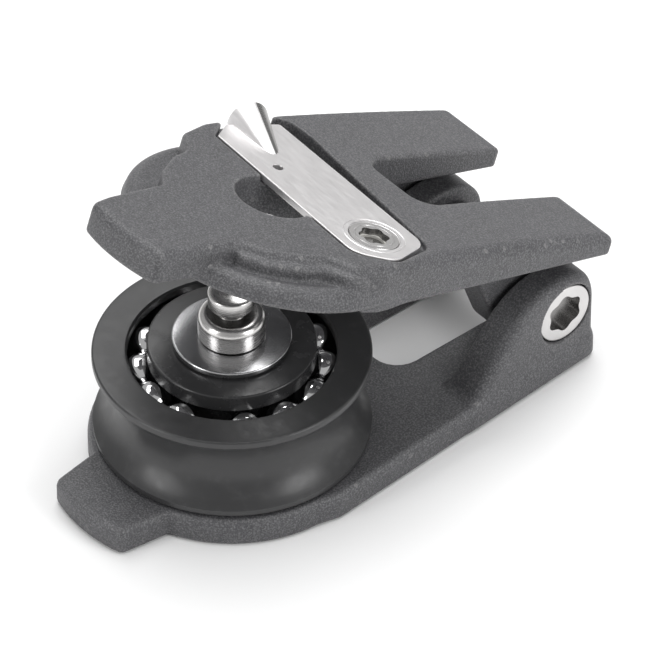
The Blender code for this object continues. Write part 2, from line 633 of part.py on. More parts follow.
def make_upper_cheek(swing):
    """The hinged cheek: plateau with crowned tail, disc rim, two knuckles and all its pockets."""
    cheek = prism("upper_cheek", plateau_outline(), UNDERSIDE - 5, TOP + 5, "nylon_grey",
                  parent=swing)
    keep(cheek, prism("side_view", side_profile(), -50, 50, "nylon_grey", axis="X", parent=swing))
    join(cheek, make_rim(swing))
    for label, span in (("near", NEAR_KNUCKLE), ("far", FAR_KNUCKLE)):
        join(cheek, prism(f"knuckle_{label}", knuckle_outline(), *span, "nylon_grey",
                          axis="X", parent=swing))
    cut(cheek, prism("upper_slot", slot_outline(UPPER_SLOT_HALF, UPPER_SLOT_START,
                                                UPPER_SLOT_CORNER, PRONG_END + 5),
                     UNDERSIDE - 3, TOP + 3, "nylon_grey", parent=swing))
    cut(cheek, prism("knuckle_bore", circle((HINGE_Y, HINGE_Z), BUSH_RADIUS + GAP), -40, 40,
                     "nylon_grey", axis="X", parent=swing))
    cut(cheek, head_recess("far", -1, swing))
    pocket = RING_RADIUS + POCKET_CLEARANCE
    roof = WASHER_TOP + GAP
    cut(cheek, turned("ring_pocket", [(0, UNDERSIDE - 5), (pocket, UNDERSIDE - 5), (pocket, roof),
                                      (0, roof)], "nylon_grey", parent=swing))
    cut(cheek, slanted_hole(roof, swing))
    cut(cheek, prism("latch_recess", recess_outline(), LATCH_BOTTOM - GAP, TOP + 3, "nylon_grey",
                     parent=swing))
    well = prism("recess_well", recess_outline(), TOP - WELL_DEPTH, TOP + 3, "nylon_grey",
                 parent=swing)
    keep(well, prism("well_side", [(-WELL_REACH, WELL_FRONT), (WELL_END, WELL_FRONT),
                                   (WELL_END, 40), (-WELL_REACH, 40)],
                     0, TOP + 5, "nylon_grey", parent=swing))
    cut(cheek, well)
    shaft = [(0, UNDERSIDE - 3), (LATCH_NUT_RADIUS + GAP, UNDERSIDE - 3),
             (LATCH_NUT_RADIUS + GAP, latch_nut_top() + GAP),
             (sleeve_outer() + GAP, latch_nut_top() + GAP),
             (sleeve_outer() + GAP, spring_floor() - GAP),
             (spring_reach() + GAP, spring_floor() - GAP),
             (spring_reach() + GAP, TOP + 3), (0, TOP + 3)]
    cut(cheek, turned("pivot_shaft", shaft, "nylon_grey", centre=LATCH_PIVOT,
                      segments=FINE_SEGMENTS, parent=swing))
    return cheek


# ---------------------------------------------------------------- latch
def sleeve_outer():
    """Radius of the pivot sleeve."""
    return SCREW_SHANK_RADIUS + GAP + SLEEVE_WALL


def latch_nut_top():
    """Top of the latch nut, which sits above the inner race."""
    return RING_TOP + 0.9 + LATCH_NUT_HEIGHT


def spring_reach():
    """Outer radius of the spring around the sleeve."""
    return sleeve_outer() + GAP + 2 * SPRING_WIRE + 0.4


def spring_floor():
    """Bottom of the spring."""
    return LATCH_BOTTOM - GAP - (SPRING_TURNS + 1) * (SPRING_WIRE + 0.1)


def front_edge(x):
    """y of the latch's front edge."""
    return LATCH_FRONT_EDGE - LATCH_SLOPE * x


def latch_corners(gap=0.0):
    """Plan corners of the latch at rest, grown by a gap at the front."""
    px, py = LATCH_PIVOT
    return [(-LATCH_TIP + 3.2, front_edge(-LATCH_TIP) - gap, 0.8),
            (px + 4.0, front_edge(px) - gap, 6.0),
            (px + LATCH_END + gap, py - 2.0, 5.0),
            (px + LATCH_END - 3.6 + gap, LATCH_REAR_EDGE - 1.8, 4.0),
            (-LATCH_TIP + 3.2, LATCH_REAR_EDGE + 0.6, 0.8),
            (-LATCH_TIP, py - 1.0, 0.8)]


def recess_outline():
    """The latch's place in the cheek: close in front, with room to swing behind and at the tip."""
    px = LATCH_PIVOT[0]
    bend, end, rear = latch_corners(LATCH_EDGE_GAP)[1:4]
    reach = px + LATCH_TIP - 3.2
    rear_rise = reach * math.sin(math.radians(LATCH_SWING))
    beyond = UPPER_SIDE + 6
    return rounded([(-beyond, front_edge(-LATCH_TIP) - LATCH_EDGE_GAP, 0), bend, end,
                    (rear[0] + 0.6, rear[1] + 0.9, 4.0),
                    (-reach + px + 5.5, LATCH_REAR_EDGE + rear_rise * 0.95 + 1.2, 3.0),
                    (-reach + px - 1.0, LATCH_REAR_EDGE + rear_rise * 0.95 + 1.0, 3.0),
                    (-beyond, LATCH_REAR_EDGE - 4.0, 0)])


def thumb_solid(name, half_width, height, apex_shift, reach, finish, parent):
    """Half a cone lying on the latch, from its apex to past the tip."""
    apex = Vector(THUMB_APEX)
    along = (Vector(THUMB_TIP) - apex).normalized()
    across = Vector((-along.y, along.x))
    tip = Vector(THUMB_TIP) + along * reach
    start = apex + along * apex_shift
    base = TOP - LATCH_THICKNESS / 2
    grow = (tip - start).length / (Vector(THUMB_TIP) - start).length
    points = [(start.x, start.y, base)]
    ring = 10
    for i in range(ring + 1):
        turn = math.pi * i / ring
        at = tip + across * (half_width * grow * math.cos(turn))
        points.append((at.x, at.y, base + height * grow * math.sin(turn)))
    faces = [(0, i, i + 1) for i in range(1, ring + 1)]
    faces += [tuple(range(1, ring + 2)), (0, ring + 1, 1)]
    return add_object(name, points, faces, finish, parent)


def make_latch(swing):
    """The flat latch with its countersink, lanyard hole and pressed-up thumb ridge."""
    latch = prism("latch", rounded(latch_corners()), LATCH_BOTTOM, TOP, "steel_satin",
                  parent=swing)
    join(latch, thumb_solid("thumb_ridge", THUMB_HALF_WIDTH, THUMB_HEIGHT, 0, 0, "steel_satin",
                            swing))
    cut(latch, thumb_solid("thumb_hollow", THUMB_HALF_WIDTH - THUMB_WALL,
                           THUMB_HEIGHT - THUMB_WALL, 3.0, 3.0, "steel_satin", swing))
    hole = SCREW_SHANK_RADIUS + GAP + SLEEVE_WALL + GAP
    wide = LATCH_SCREW_RADIUS + GAP
    sink = [(0, LATCH_BOTTOM - 1), (hole, LATCH_BOTTOM - 1),
            (hole, TOP - LATCH_SCREW_CONE - GAP), (wide, TOP - 0.2), (wide, TOP + 1), (0, TOP + 1)]
    cut(latch, turned("countersink", sink, "steel_satin", centre=LATCH_PIVOT,
                      segments=FINE_SEGMENTS, parent=swing))
    cut(latch, prism("lanyard_hole", circle(LANYARD_HOLE, LANYARD_HOLE_RADIUS, 12),
                     LATCH_BOTTOM - 1, TOP + 1, "steel_satin", parent=swing))
    return latch


def make_latch_hardware(swing):
    """Pivot screw, its sleeve and nut, and the torsion spring around the sleeve."""
    nut_top = latch_nut_top()
    nut_low = nut_top - LATCH_NUT_HEIGHT
    cone_low = TOP - LATCH_SCREW_CONE
    screw = [(0, nut_low + 0.4), (SCREW_SHANK_RADIUS, nut_low + 0.4),
             (SCREW_SHANK_RADIUS, cone_low), (LATCH_SCREW_RADIUS, TOP - 0.2),
             (LATCH_SCREW_RADIUS, TOP), (0, TOP)]
    head = turned("latch_screw", screw, "steel", centre=LATCH_PIVOT, segments=FINE_SEGMENTS,
                  parent=swing)
    cut(head, prism("screw_socket", lobed(LATCH_PIVOT, 3.1, 2.4), TOP - 0.8, TOP + 1, "steel",
                    parent=swing))
    bore = SCREW_SHANK_RADIUS + GAP
    sleeve_top = cone_low - GAP
    turned("latch_sleeve", [(bore, nut_top + GAP), (sleeve_outer(), nut_top + GAP),
                            (sleeve_outer(), sleeve_top), (bore, sleeve_top)],
           "bush_white", centre=LATCH_PIVOT, segments=FINE_SEGMENTS, parent=swing)
    nut = prism("latch_nut", circle(LATCH_PIVOT, LATCH_NUT_RADIUS, 6), nut_low, nut_top,
                "steel_satin", parent=swing)
    cut(nut, prism("latch_nut_bore", circle(LATCH_PIVOT, bore), nut_low - 1, nut_top + 1,
                   "steel_satin", parent=swing))
    make_spring(swing)


def make_spring(swing):
    """The latch's torsion spring, one closed round wire."""
    radius = sleeve_outer() + GAP + SPRING_WIRE / 2 + 0.2
    pitch = SPRING_WIRE + 0.1
    steps = int(12 * SPRING_TURNS)
    low = spring_floor() + SPRING_WIRE / 2
    curve = bpy.data.curves.new("latch_spring", "CURVE")
    curve.dimensions = "3D"
    curve.bevel_depth = SPRING_WIRE / 2 * MM
    curve.bevel_resolution = 1
    curve.use_fill_caps = True
    line = curve.splines.new("POLY")
    line.points.add(steps)
    for i in range(steps + 1):
        turns = SPRING_TURNS * i / steps
        turn = 2 * math.pi * turns
        line.points[i].co = ((LATCH_PIVOT[0] + radius * math.cos(turn)) * MM,
                             (LATCH_PIVOT[1] + radius * math.sin(turn)) * MM,
                             (low + pitch * turns) * MM, 1.0)
    curve.materials.append(material("spring_steel"))
    spring = bpy.data.objects.new("latch_spring", curve)
    spring.parent = swing
    bpy.context.collection.objects.link(spring)


def add_empty(name):
    empty = bpy.data.objects.new(name, None)
    bpy.context.collection.objects.link(empty)
    return empty


def main():
    for thing in list(bpy.data.objects):
        bpy.data.objects.remove(thing, do_unlink=True)
    upper_row = SHEAVE_MIDDLE + ROW_OFFSET
    lower_row = SHEAVE_MIDDLE - ROW_OFFSET
    make_lower_cheek()
    make_post()
    make_post_nut()
    make_sheave(upper_row, lower_row)
    make_inner_race("inner_race_upper", upper_row, RING_TOP, SHEAVE_MIDDLE + GAP / 2)
    make_inner_race("inner_race_lower", lower_row, CHEEK_THICKNESS + GAP,
                    SHEAVE_MIDDLE - GAP / 2)
    make_balls(upper_row, lower_row, add_empty("sheave_axis"))
    make_washer()
    hinge = Vector((0, HINGE_Y, HINGE_Z)) * MM
    swing = add_empty("hinge_axis")
    make_hinge(swing)
    make_upper_cheek(swing)
    make_latch(swing)
    make_latch_hardware(swing)
    opened = Matrix.Rotation(math.radians(-REST_OPENING), 4, "X")
    swing.matrix_world = Matrix.Translation(hinge) @ opened
    for thing in swing.children:
        thing.matrix_parent_inverse = Matrix.Translation(-hinge)


main()
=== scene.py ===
"""Looks for the single sheave snatch block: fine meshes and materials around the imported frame.

Pieces are drawn in millimetres. Those of the hinged cheek are drawn closed, in the plane of the
lower cheek, and then opened about the hinge by the angle that the frame's closing joint states.
The moulded cheeks are built as distance fields, so that each edge and corner has its own radius.
"""
import json
import math

import bmesh
import bpy
import numpy as np
import openvdb
from mathutils import Matrix, Vector


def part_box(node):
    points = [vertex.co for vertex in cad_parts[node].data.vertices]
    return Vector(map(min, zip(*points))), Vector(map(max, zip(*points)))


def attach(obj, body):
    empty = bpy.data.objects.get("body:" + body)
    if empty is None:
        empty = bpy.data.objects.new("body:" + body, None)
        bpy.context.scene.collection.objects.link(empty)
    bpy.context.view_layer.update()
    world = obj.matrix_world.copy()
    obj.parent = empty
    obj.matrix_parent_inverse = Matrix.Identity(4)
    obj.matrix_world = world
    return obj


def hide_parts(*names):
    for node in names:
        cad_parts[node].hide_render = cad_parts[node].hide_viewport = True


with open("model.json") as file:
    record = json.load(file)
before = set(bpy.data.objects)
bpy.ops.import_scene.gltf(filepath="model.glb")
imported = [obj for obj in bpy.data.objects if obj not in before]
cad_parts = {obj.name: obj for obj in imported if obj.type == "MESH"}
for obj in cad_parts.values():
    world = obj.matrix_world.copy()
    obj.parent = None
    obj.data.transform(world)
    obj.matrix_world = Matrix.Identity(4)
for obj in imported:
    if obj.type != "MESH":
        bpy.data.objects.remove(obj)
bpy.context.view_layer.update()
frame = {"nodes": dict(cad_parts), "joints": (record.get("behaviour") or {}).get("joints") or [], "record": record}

MM = 0.001
JOINTS = {joint["name"]: joint for joint in frame["joints"]}
HINGE = Vector(JOINTS["cheek_close"]["pos_m"]) / MM
OPENING = -JOINTS["cheek_close"]["range_deg"][0]
OPENED = Matrix.Translation(HINGE) @ Matrix.Rotation(math.radians(-OPENING), 4, "X") \
    @ Matrix.Translation(-HINGE)
CLOSED = OPENED.inverted()
OPENED_METRES = Matrix.Scale(MM, 4) @ OPENED @ Matrix.Scale(1 / MM, 4)


def box_mm(node):
    """A node's lowest and highest corners in millimetres."""
    low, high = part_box(node)
    return Vector(low) / MM, Vector(high) / MM


# ---- sizes read from the frame
SHEAVE_LOW, SHEAVE_HIGH = box_mm("sheave")
RING_HIGH = box_mm("inner_race_upper")[1]
WASHER_LOW, WASHER_HIGH = box_mm("race_washer")
POST_HIGH = box_mm("centre_post")[1]
BOLT_LOW, BOLT_HIGH = box_mm("hinge_bolt_near")
BALL_LOW, BALL_HIGH = box_mm("upper_ball_01")
SHEAVE_R = SHEAVE_HIGH.x
SHEAVE_MIDDLE = (SHEAVE_LOW.z + SHEAVE_HIGH.z) / 2
BALL_R = (BALL_HIGH.z - BALL_LOW.z) / 2
BALL_ROW = (BALL_HIGH.z + BALL_LOW.z) / 2
RING_R = RING_HIGH.x
WASHER_R = WASHER_HIGH.x
EAR_OUTER = BOLT_HIGH.x
BOLT_R = (BOLT_HIGH.z - BOLT_LOW.z) / 2
PIVOT = CLOSED @ (Vector(JOINTS["latch_swing"]["pos_m"]) / MM)
TOP = PIVOT.z
GAP = 0.3                       # between neighbouring pieces
GRID_STEP = 0.36     # of the cheeks' distance fields
THINNING = 0.6                  # share of the cheeks' faces that is kept

# ---- camera, from the fit of the view
VIEW_AZIMUTH = 49.65
VIEW_ELEVATION = 41.86
VIEW_ROLL = 0.21
VIEW_DISTANCE = 54.68           # in sheave radii
VIEW_SHIFT = (0.6608, 0.1258)   # from a point on the sheave axis, in sheave radii
LENS = 426.7
SENSOR = 36.0

# ---- lower cheek
PLATE = 6.2                     # thickness
DISC_R = SHEAVE_R + 1.1
LOWER_BEAK_HALF = 10.6
LOWER_BEAK_ROOT = 12.15
LOWER_BEAK_FRONT = -(SHEAVE_R + 9.4)
BEAK_CROWN = 1.6
RAIL_FRONT = DISC_R + 1.4       # half width of the side rail beside the sheave
EAR_INNER = 19.7
EAR_THICK = EAR_OUTER - EAR_INNER
EAR_R = 9.2
REAR = HINGE.y + EAR_R
RAMP_START = 40.7
RAMP_ANGLE = 50.0
RAMP_ROUND = 17.0
PARTING_HEIGHT = 4.9            # the mould's parting line is a small step around the plate
PARTING_STEP = 0.2
SLOT_HALF = 9.1
SLOT_START = 35.6
SLOT_CORNER = 5.7
AXLE_HOLE_R = 4.2
BOLT_PLACE_DEPTH = 3.3

# ---- upper cheek, closed
UNDERSIDE = TOP - 10.0
CROWN_FALL = 5.6
FLAT_END = 14.0
PRONG_END = 75.0
PRONG_OUTER = 26.6
CHEEK_SIDE = 29.2
UPPER_BEAK_HALF = 10.9
UPPER_BEAK_ROOT = 11.9
UPPER_BEAK_FRONT = -(SHEAVE_R + 12.3)
UPPER_BEAK_BOTTOM = TOP - 7.0
RIM_R = SHEAVE_R + 1.8
RIM_BOTTOM = UNDERSIDE + 1.7
RIM_TOP = UNDERSIDE + 5.6
UPPER_SLOT_HALF = 9.3
UPPER_SLOT_START = 33.5
UPPER_SLOT_CORNER = 4.8
BUSH_HOLE_R = 5.5
POCKET_R = 18.6                 # over the bearing
SCREW_HOLE_R = 4.0
SCREW_NUT_R = 5.3
SCREW_NUT_PLACE = 4.3
HOLE_TOP = (-1.1, 0.4, 8.2)     # the post hole slants: centre and radius above and below
HOLE_LOW = (0.1, -0.7, 7.8)
WELL_DEPTH = 5.0                # the latch recess is deeper behind the latch
WELL_FRONT = 19.6
WELL_END = 15.0
KNUCKLE_INNER = 9.9
KNUCKLE_R = 9.0
KNUCKLE_START = 41.0
LEAF_GAP = 1.3                  # between a knuckle and the ear beside it

# ---- bearing and post
BALL_PITCH = RING_R + 1.5       # radius of the ball circle
RACE_R = BALL_R + GAP
RACE_BORE = 5.8
POST_FOOT_R = 4.0
NUT_R = 8.3
NUT_HEIGHT = 3.7
POST_R = 5.5
SHOULDER_R = 6.9
SHOULDER_WAIST = 5.2            # radius where the shoulder meets the neck
SHOULDER_STRAIGHT = 3.9
NECK_R = 2.9
HEAD_R = 4.8
HEAD_STRAIGHT = 3.0

# ---- latch, closed
LATCH_THICK = 1.5
LATCH_BOTTOM = TOP - LATCH_THICK
LATCH_FRONT = 3.2
LATCH_SLOPE = 0.068
LATCH_REAR = 21.9
LATCH_TIP = 27.4
LATCH_SIDE_GAP = 0.35
LATCH_SWING = 6.2
THUMB_APEX = (-14.2, 12.4)
THUMB_TIP = (-27.4, 16.2)
THUMB_HALF = 4.6
THUMB_NOSE = 1.4                # half width of the ridge at its low end
THUMB_HEIGHT = 5.2
THUMB_WALL = 1.1
LANYARD_HOLE = (-10.1, 9.4)
SCREW_R = 5.2
SCREW_BORE = 3.9

# ---- driver sockets: outer and inner radius of the lobes, and depth
SCREW_SOCKET = (3.3, 2.75, 1.9)
BOLT_SOCKET = (4.5, 3.8, 2.2)
BOLT_HEAD_HEIGHT = 3.0
SHANK_R = 2.4


# ---------------------------------------------------------------- camera, light and floor
def add_camera():
    azimuth, elevation = math.radians(VIEW_AZIMUTH), math.radians(VIEW_ELEVATION)
    roll = math.radians(VIEW_ROLL)
    back = Vector((math.sin(azimuth) * math.cos(elevation),
                   -math.cos(azimuth) * math.cos(elevation), math.sin(elevation)))
    right = Vector((math.cos(azimuth), math.sin(azimuth), 0))
    up = back.cross(right)
    radius = SHEAVE_R * MM
    target = Vector((0, 0, radius)) + (right * VIEW_SHIFT[0] + up * VIEW_SHIFT[1]) * radius
    turned_right = right * math.cos(roll) + up * math.sin(roll)
    turned_up = up * math.cos(roll) - right * math.sin(roll)
    camera = add_piece("camera", bpy.data.cameras.new("camera"))
    camera.matrix_world = Matrix.Translation(target + back * VIEW_DISTANCE * radius) @ Matrix((
        turned_right, turned_up, back)).transposed().to_4x4()
    camera.data.lens = LENS
    camera.data.sensor_width = SENSOR
    camera.data.clip_end = 10.0
    bpy.context.scene.camera = camera


def add_area(name, place, size, power, target=(0, 0.02, 0.03)):
    """A soft rectangular light aimed at the part."""
    data = bpy.data.lights.new(name, "AREA")
    data.shape = "RECTANGLE"
    data.size, data.size_y = size
    data.energy = power
    lamp = add_piece(name, data)
    lamp.location = place
    lamp.rotation_euler = (Vector(target) - Vector(place)).to_track_quat("-Z", "Y").to_euler()


def add_studio():
    """A pale surround and floor, an overhead soft box and one on each side of the camera."""
    world = bpy.data.worlds.new("studio")
    world.use_nodes = True
    background = world.node_tree.nodes["Background"]
    background.inputs["Color"].default_value = (1.0, 1.0, 1.0, 1.0)
    background.inputs["Strength"].default_value = 0.42
    bpy.context.scene.world = world
    add_area("top_light", (-0.25, 0.30, 1.0), (1.1, 1.1), 12.5)
    add_area("left_light", (-0.15, -0.80, 0.35), (0.30, 0.55), 2.8)
    add_area("right_light", (0.80, 0.25, 0.38), (0.35, 0.55), 3.4)
    bpy.ops.mesh.primitive_plane_add(size=6.0, location=(0, 0, -0.0002))
    floor = bpy.context.object
    floor.name = "floor"
    floor.data.materials.append(flat_material("floor_white", (0.90, 0.90, 0.90), 0.8))
    bpy.context.scene.view_settings.view_transform = "Standard"


# ---------------------------------------------------------------- materials
def flat_material(name, colour, roughness):
    made = bpy.data.materials.new(name)
    made.use_nodes = True
    shader = made.node_tree.nodes["Principled BSDF"]
    shader.inputs["Base Color"].default_value = (*colour, 1.0)
    shader.inputs["Roughness"].default_value = roughness
    return made


class Look:
    """A material under construction: its node tree, shader and object coordinates."""

    def __init__(self, name, metallic=0.0):
        self.material = bpy.data.materials.new(name)
        self.material.use_nodes = True
        self.tree = self.material.node_tree
        self.shader = self.tree.nodes["Principled BSDF"]
        self.shader.inputs["Metallic"].default_value = metallic
        self.place = self.tree.nodes.new("ShaderNodeTexCoord").outputs["Object"]

    def stretch(self, scale):
        """Object coordinates scaled differently along each axis."""
        node = self.tree.nodes.new("ShaderNodeMapping")
        node.inputs["Scale"].default_value = scale
        self.tree.links.new(self.place, node.inputs["Vector"])
        return node.outputs["Vector"]

    def noise(self, size_mm, detail=2.0, place=None):
        """Noise with features of about that size."""
        node = self.tree.nodes.new("ShaderNodeTexNoise")
        node.inputs["Scale"].default_value = 1.0 / (size_mm * MM)
        node.inputs["Detail"].default_value = detail
        self.tree.links.new(place or self.place, node.inputs["Vector"])
        return node.outputs["Fac"]

    def ramp(self, factor, low, high, start=0.0, end=1.0):
        """A value that goes from low to high as the factor goes from start to end."""
        node = self.tree.nodes.new("ShaderNodeMapRange")
        node.inputs["From Min"].default_value = start
        node.inputs["From Max"].default_value = end
        node.inputs["To Min"].default_value = low
        node.inputs["To Max"].default_value = high
        self.tree.links.new(factor, node.inputs["Value"])
        return node.outputs["Result"]

    def maths(self, operation, first, second):
        node = self.tree.nodes.new("ShaderNodeMath")
        node.operation = operation
        for socket, value in zip(node.inputs, (first, second)):
            if isinstance(value, (int, float)):
                socket.default_value = value
            else:
                self.tree.links.new(value, socket)
        return node.outputs["Value"]

    def mix(self, factor, first, second):
        """A colour between two colours; each is a colour or another node's output."""
        node = self.tree.nodes.new("ShaderNodeMix")
        node.data_type = "RGBA"
        self.tree.links.new(factor, node.inputs["Factor"])
        for socket, value in ((node.inputs[6], first), (node.inputs[7], second)):
            if isinstance(value, tuple):
                socket.default_value = (*value, 1.0)
            else:
                self.tree.links.new(value, socket)
        return node.outputs[2]

    def bump(self, height, distance_mm, strength=1.0, below=None):
        node = self.tree.nodes.new("ShaderNodeBump")
        node.inputs["Strength"].default_value = strength
        node.inputs["Distance"].default_value = distance_mm * MM
        self.tree.links.new(height, node.inputs["Height"])
        if below:
            self.tree.links.new(below, node.inputs["Normal"])
        return node.outputs["Normal"]

    def finish(self, colour=None, roughness=None, normal=None):
        for socket, value in (("Base Color", colour), ("Roughness", roughness),
                              ("Normal", normal)):
            if value is not None:
                self.tree.links.new(value, self.shader.inputs[socket])
        return self.material


def nylon_look():
    """Moulded glass-filled nylon: matte, finely grained, paler on sharp edges, partly rubbed wear and partly
    painted highlight.
    """
    look = Look("nylon")
    grain = look.noise(0.36, 3.0)
    mottle = look.noise(2.6, 3.0)
    cloud = look.noise(14.0, 2.0)
    edge = look.tree.nodes.new("ShaderNodeNewGeometry").outputs["Pointiness"]
    base = look.mix(look.ramp(mottle, 0.0, 1.0, 0.3, 0.7), (0.044, 0.044, 0.047),
                    (0.066, 0.0655, 0.070))
    base = look.mix(look.ramp(cloud, 0.0, 0.5, 0.35, 0.7), base, (0.058, 0.058, 0.064))
    specks = look.ramp(grain, 0.0, 1.0, 0.44, 0.70)
    base = look.mix(specks, base, (0.145, 0.144, 0.149))
    # paler colour on sharp edges: partly rubbed wear, partly a painted highlight along the edges
    rubbed_and_highlit_edge = look.maths("MULTIPLY", look.ramp(edge, 0.0, 0.35, 0.51, 0.575),
                      look.ramp(grain, 0.5, 1.0, 0.40, 0.64))
    colour = look.mix(rubbed_and_highlit_edge, base, (0.30, 0.295, 0.29))
    roughness = look.ramp(mottle, 0.46, 0.58)
    normal = look.bump(grain, 0.10, 1.0)
    normal = look.bump(mottle, 0.06, 0.4, normal)
    return look.finish(colour, roughness, normal)


def turned_black_look(name, colour, pale, roughness, ring_mm, ring_strength):
    """Black plastic with fine turning lines around the Z axis and faint scuffs."""
    look = Look(name)
    split = look.tree.nodes.new("ShaderNodeSeparateXYZ")
    look.tree.links.new(look.place, split.inputs["Vector"])
    radius = look.maths("SQRT", look.maths("ADD", look.maths("POWER", split.outputs["X"], 2.0),
                                           look.maths("POWER", split.outputs["Y"], 2.0)), 0.0)
    join = look.tree.nodes.new("ShaderNodeCombineXYZ")
    look.tree.links.new(radius, join.inputs["X"])
    look.tree.links.new(split.outputs["Z"], join.inputs["Y"])
    lines = look.noise(ring_mm, 3.0, join.outputs["Vector"])
    scuff = look.noise(3.0, 5.0)
    fine = look.noise(0.4, 2.0)
    base = look.mix(look.ramp(scuff, 0.0, 0.6, 0.55, 0.8), colour, pale)
    rough = look.maths("ADD", look.ramp(scuff, roughness - 0.05, roughness + 0.08, 0.3, 0.7),
                       look.ramp(fine, -0.02, 0.03))
    normal = look.bump(lines, 0.012, ring_strength)
    normal = look.bump(fine, 0.006, ring_strength * 0.6, normal)
    return look.finish(base, rough, normal)


def steel_look(name, colour, roughness, grain_scale, grain_strength, spread=0.06):
    """Stainless steel whose fine grain runs along the axis of least scale."""
    look = Look(name, 1.0)
    grain = look.noise(0.25, 3.0, look.stretch(grain_scale))
    smudge = look.noise(6.0, 3.0)
    base = look.mix(look.ramp(smudge, 0.0, 1.0, 0.3, 0.7), colour,
                    tuple(channel * 0.93 for channel in colour))
    rough = look.maths("ADD", look.ramp(grain, roughness - spread, roughness + spread, 0.3, 0.7),
                       look.ramp(smudge, -0.02, 0.03, 0.3, 0.7))
    return look.finish(base, rough, look.bump(grain, 0.008, grain_strength))


def ball_look():
    look = Look("ball_steel", 1.0)
    smudge = look.noise(1.2, 3.0)
    base = look.mix(smudge, (0.90, 0.90, 0.90), (0.82, 0.82, 0.83))
    return look.finish(base, look.ramp(smudge, 0.03, 0.08, 0.3, 0.7))


def bush_look():
    """Off-white acetal of the bushes and hinge washers."""
    look = Look("bush_plastic")
    cloud = look.noise(4.0, 3.0)
    fine = look.noise(0.4, 2.0)
    base = look.mix(cloud, (0.62, 0.61, 0.58), (0.55, 0.54, 0.51))
    return look.finish(base, look.ramp(fine, 0.38, 0.5), look.bump(fine, 0.01, 0.3))


def make_looks():
    return {
        "nylon": nylon_look(),
        "sheave_black": turned_black_look("sheave_black", (0.034, 0.034, 0.035),
                                          (0.060, 0.060, 0.061), 0.34, 0.28, 0.7),
        "race_black": turned_black_look("race_black", (0.030, 0.030, 0.031),
                                        (0.044, 0.044, 0.045), 0.22, 0.35, 0.25),
        "steel_bright": steel_look("steel_bright", (0.66, 0.65, 0.64), 0.24,
                                   (0.06, 0.06, 2.0), 0.8),
        "steel_bolt": steel_look("steel_bolt", (0.66, 0.65, 0.645), 0.34, (1, 1, 1), 0.1),
        # darker steel that paints shade into the post's neck groove, the driver sockets and the rear side of the
        # latch ridge
        "steel_painted_shade": steel_look("steel_painted_shade", (0.30, 0.295, 0.29), 0.30, (1, 1, 1), 0.3),
        "steel_washer": steel_look("steel_washer", (0.55, 0.55, 0.56), 0.20, (1, 1, 1), 0.15),
        "steel_satin": steel_look("steel_satin", (0.86, 0.845, 0.845), 0.40,
                                  (0.06, 1.0, 1.0), 0.5),
        "ball_steel": ball_look(),
        "spring_steel": steel_look("spring_steel", (0.50, 0.50, 0.51), 0.28, (1, 1, 1), 0.3),
        "bush_plastic": bush_look(),
    }


# ---------------------------------------------------------------- meshes
def add_piece(name, data):
    """A new object of the scene with that mesh, camera or light."""
    piece = bpy.data.objects.new(name, data)
    bpy.context.scene.collection.objects.link(piece)
    return piece


def piece_from(name, points, faces):
    """A new object from points in millimetres and faces."""
    mesh = bpy.data.meshes.new(name)
    mesh.from_pydata([Vector(p) * MM for p in points], [], faces)
    return add_piece(name, mesh)


def thin_out(piece):
    """Fewer faces where the surface is plain, applied to the mesh."""
    modifier = piece.modifiers.new("thin_out", "DECIMATE")
    modifier.ratio = THINNING
    apply_modifiers(piece)


def apply_modifiers(piece):
    """The mesh as its modifiers leave it."""
    bpy.context.view_layer.update()
    evaluated = piece.evaluated_get(bpy.context.evaluated_depsgraph_get())
    mesh = bpy.data.meshes.new_from_object(evaluated)
    piece.modifiers.clear()
    piece.data = mesh


def face_outwards(piece):
    work = bmesh.new()
    work.from_mesh(piece.data)
    bmesh.ops.recalc_face_normals(work, faces=work.faces)
    work.to_mesh(piece.data)
    work.free()


def combine(piece, tool, operation):
    """Applies an exact Boolean to the piece and removes the tool."""
    face_outwards(piece)
    face_outwards(tool)
    modifier = piece.modifiers.new("combine", "BOOLEAN")
    modifier.object = tool
    modifier.operation = operation
    modifier.solver = "EXACT"
    apply_modifiers(piece)
    bpy.data.objects.remove(tool)


# ---------------------------------------------------------------- outlines
def arc(centre, radius, start, end, steps):
    """Points on an arc, angles in degrees, both ends included."""
    angles = [math.radians(start + (end - start) * i / steps) for i in range(steps + 1)]
    return [(centre[0] + radius * math.cos(a), centre[1] + radius * math.sin(a)) for a in angles]


def rounded(corners, steps=6):
    """A closed outline whose corners (x, y, radius) are rounded where the radius is not 0."""
    outline = []
    count = len(corners)
    for i, (x, y, radius) in enumerate(corners):
        here = Vector((x, y))
        if not radius:
            outline.append((x, y))
            continue
        before = (Vector(corners[i - 1][:2]) - here).normalized()
        after = (Vector(corners[(i + 1) % count][:2]) - here).normalized()
        half = before.angle(after) / 2
        reach = radius / math.tan(half)
        middle = here + (before + after).normalized() * (radius / math.sin(half))
        first = here + before * reach - middle
        sweep = first.angle_signed(here + after * reach - middle)
        for step in range(steps + 1):
            turn = Matrix.Rotation(-sweep * step / steps, 2)
            outline.append(tuple(middle + turn @ first))
    return outline


def mirrored(half):
    """A closed outline from its +X half, listed from front to rear."""
    return half + [(-x, y, *rest) for x, y, *rest in reversed(half) if abs(x) > 1e-6]


def slot_outline(half, start, corner, end):
    return rounded([(half, start, corner), (half, end, 0), (-half, end, 0), (-half, start, corner)])


def lobed(outer, inner, steps=72):
    """A six-lobed driver socket outline about the origin."""
    middle, wave = (outer + inner) / 2, (outer - inner) / 2
    outline = []
    for i in range(steps):
        turn = 2 * math.pi * i / steps
        radius = middle + wave * math.cos(6 * turn)
        outline.append((radius * math.cos(turn), radius * math.sin(turn)))
    return outline


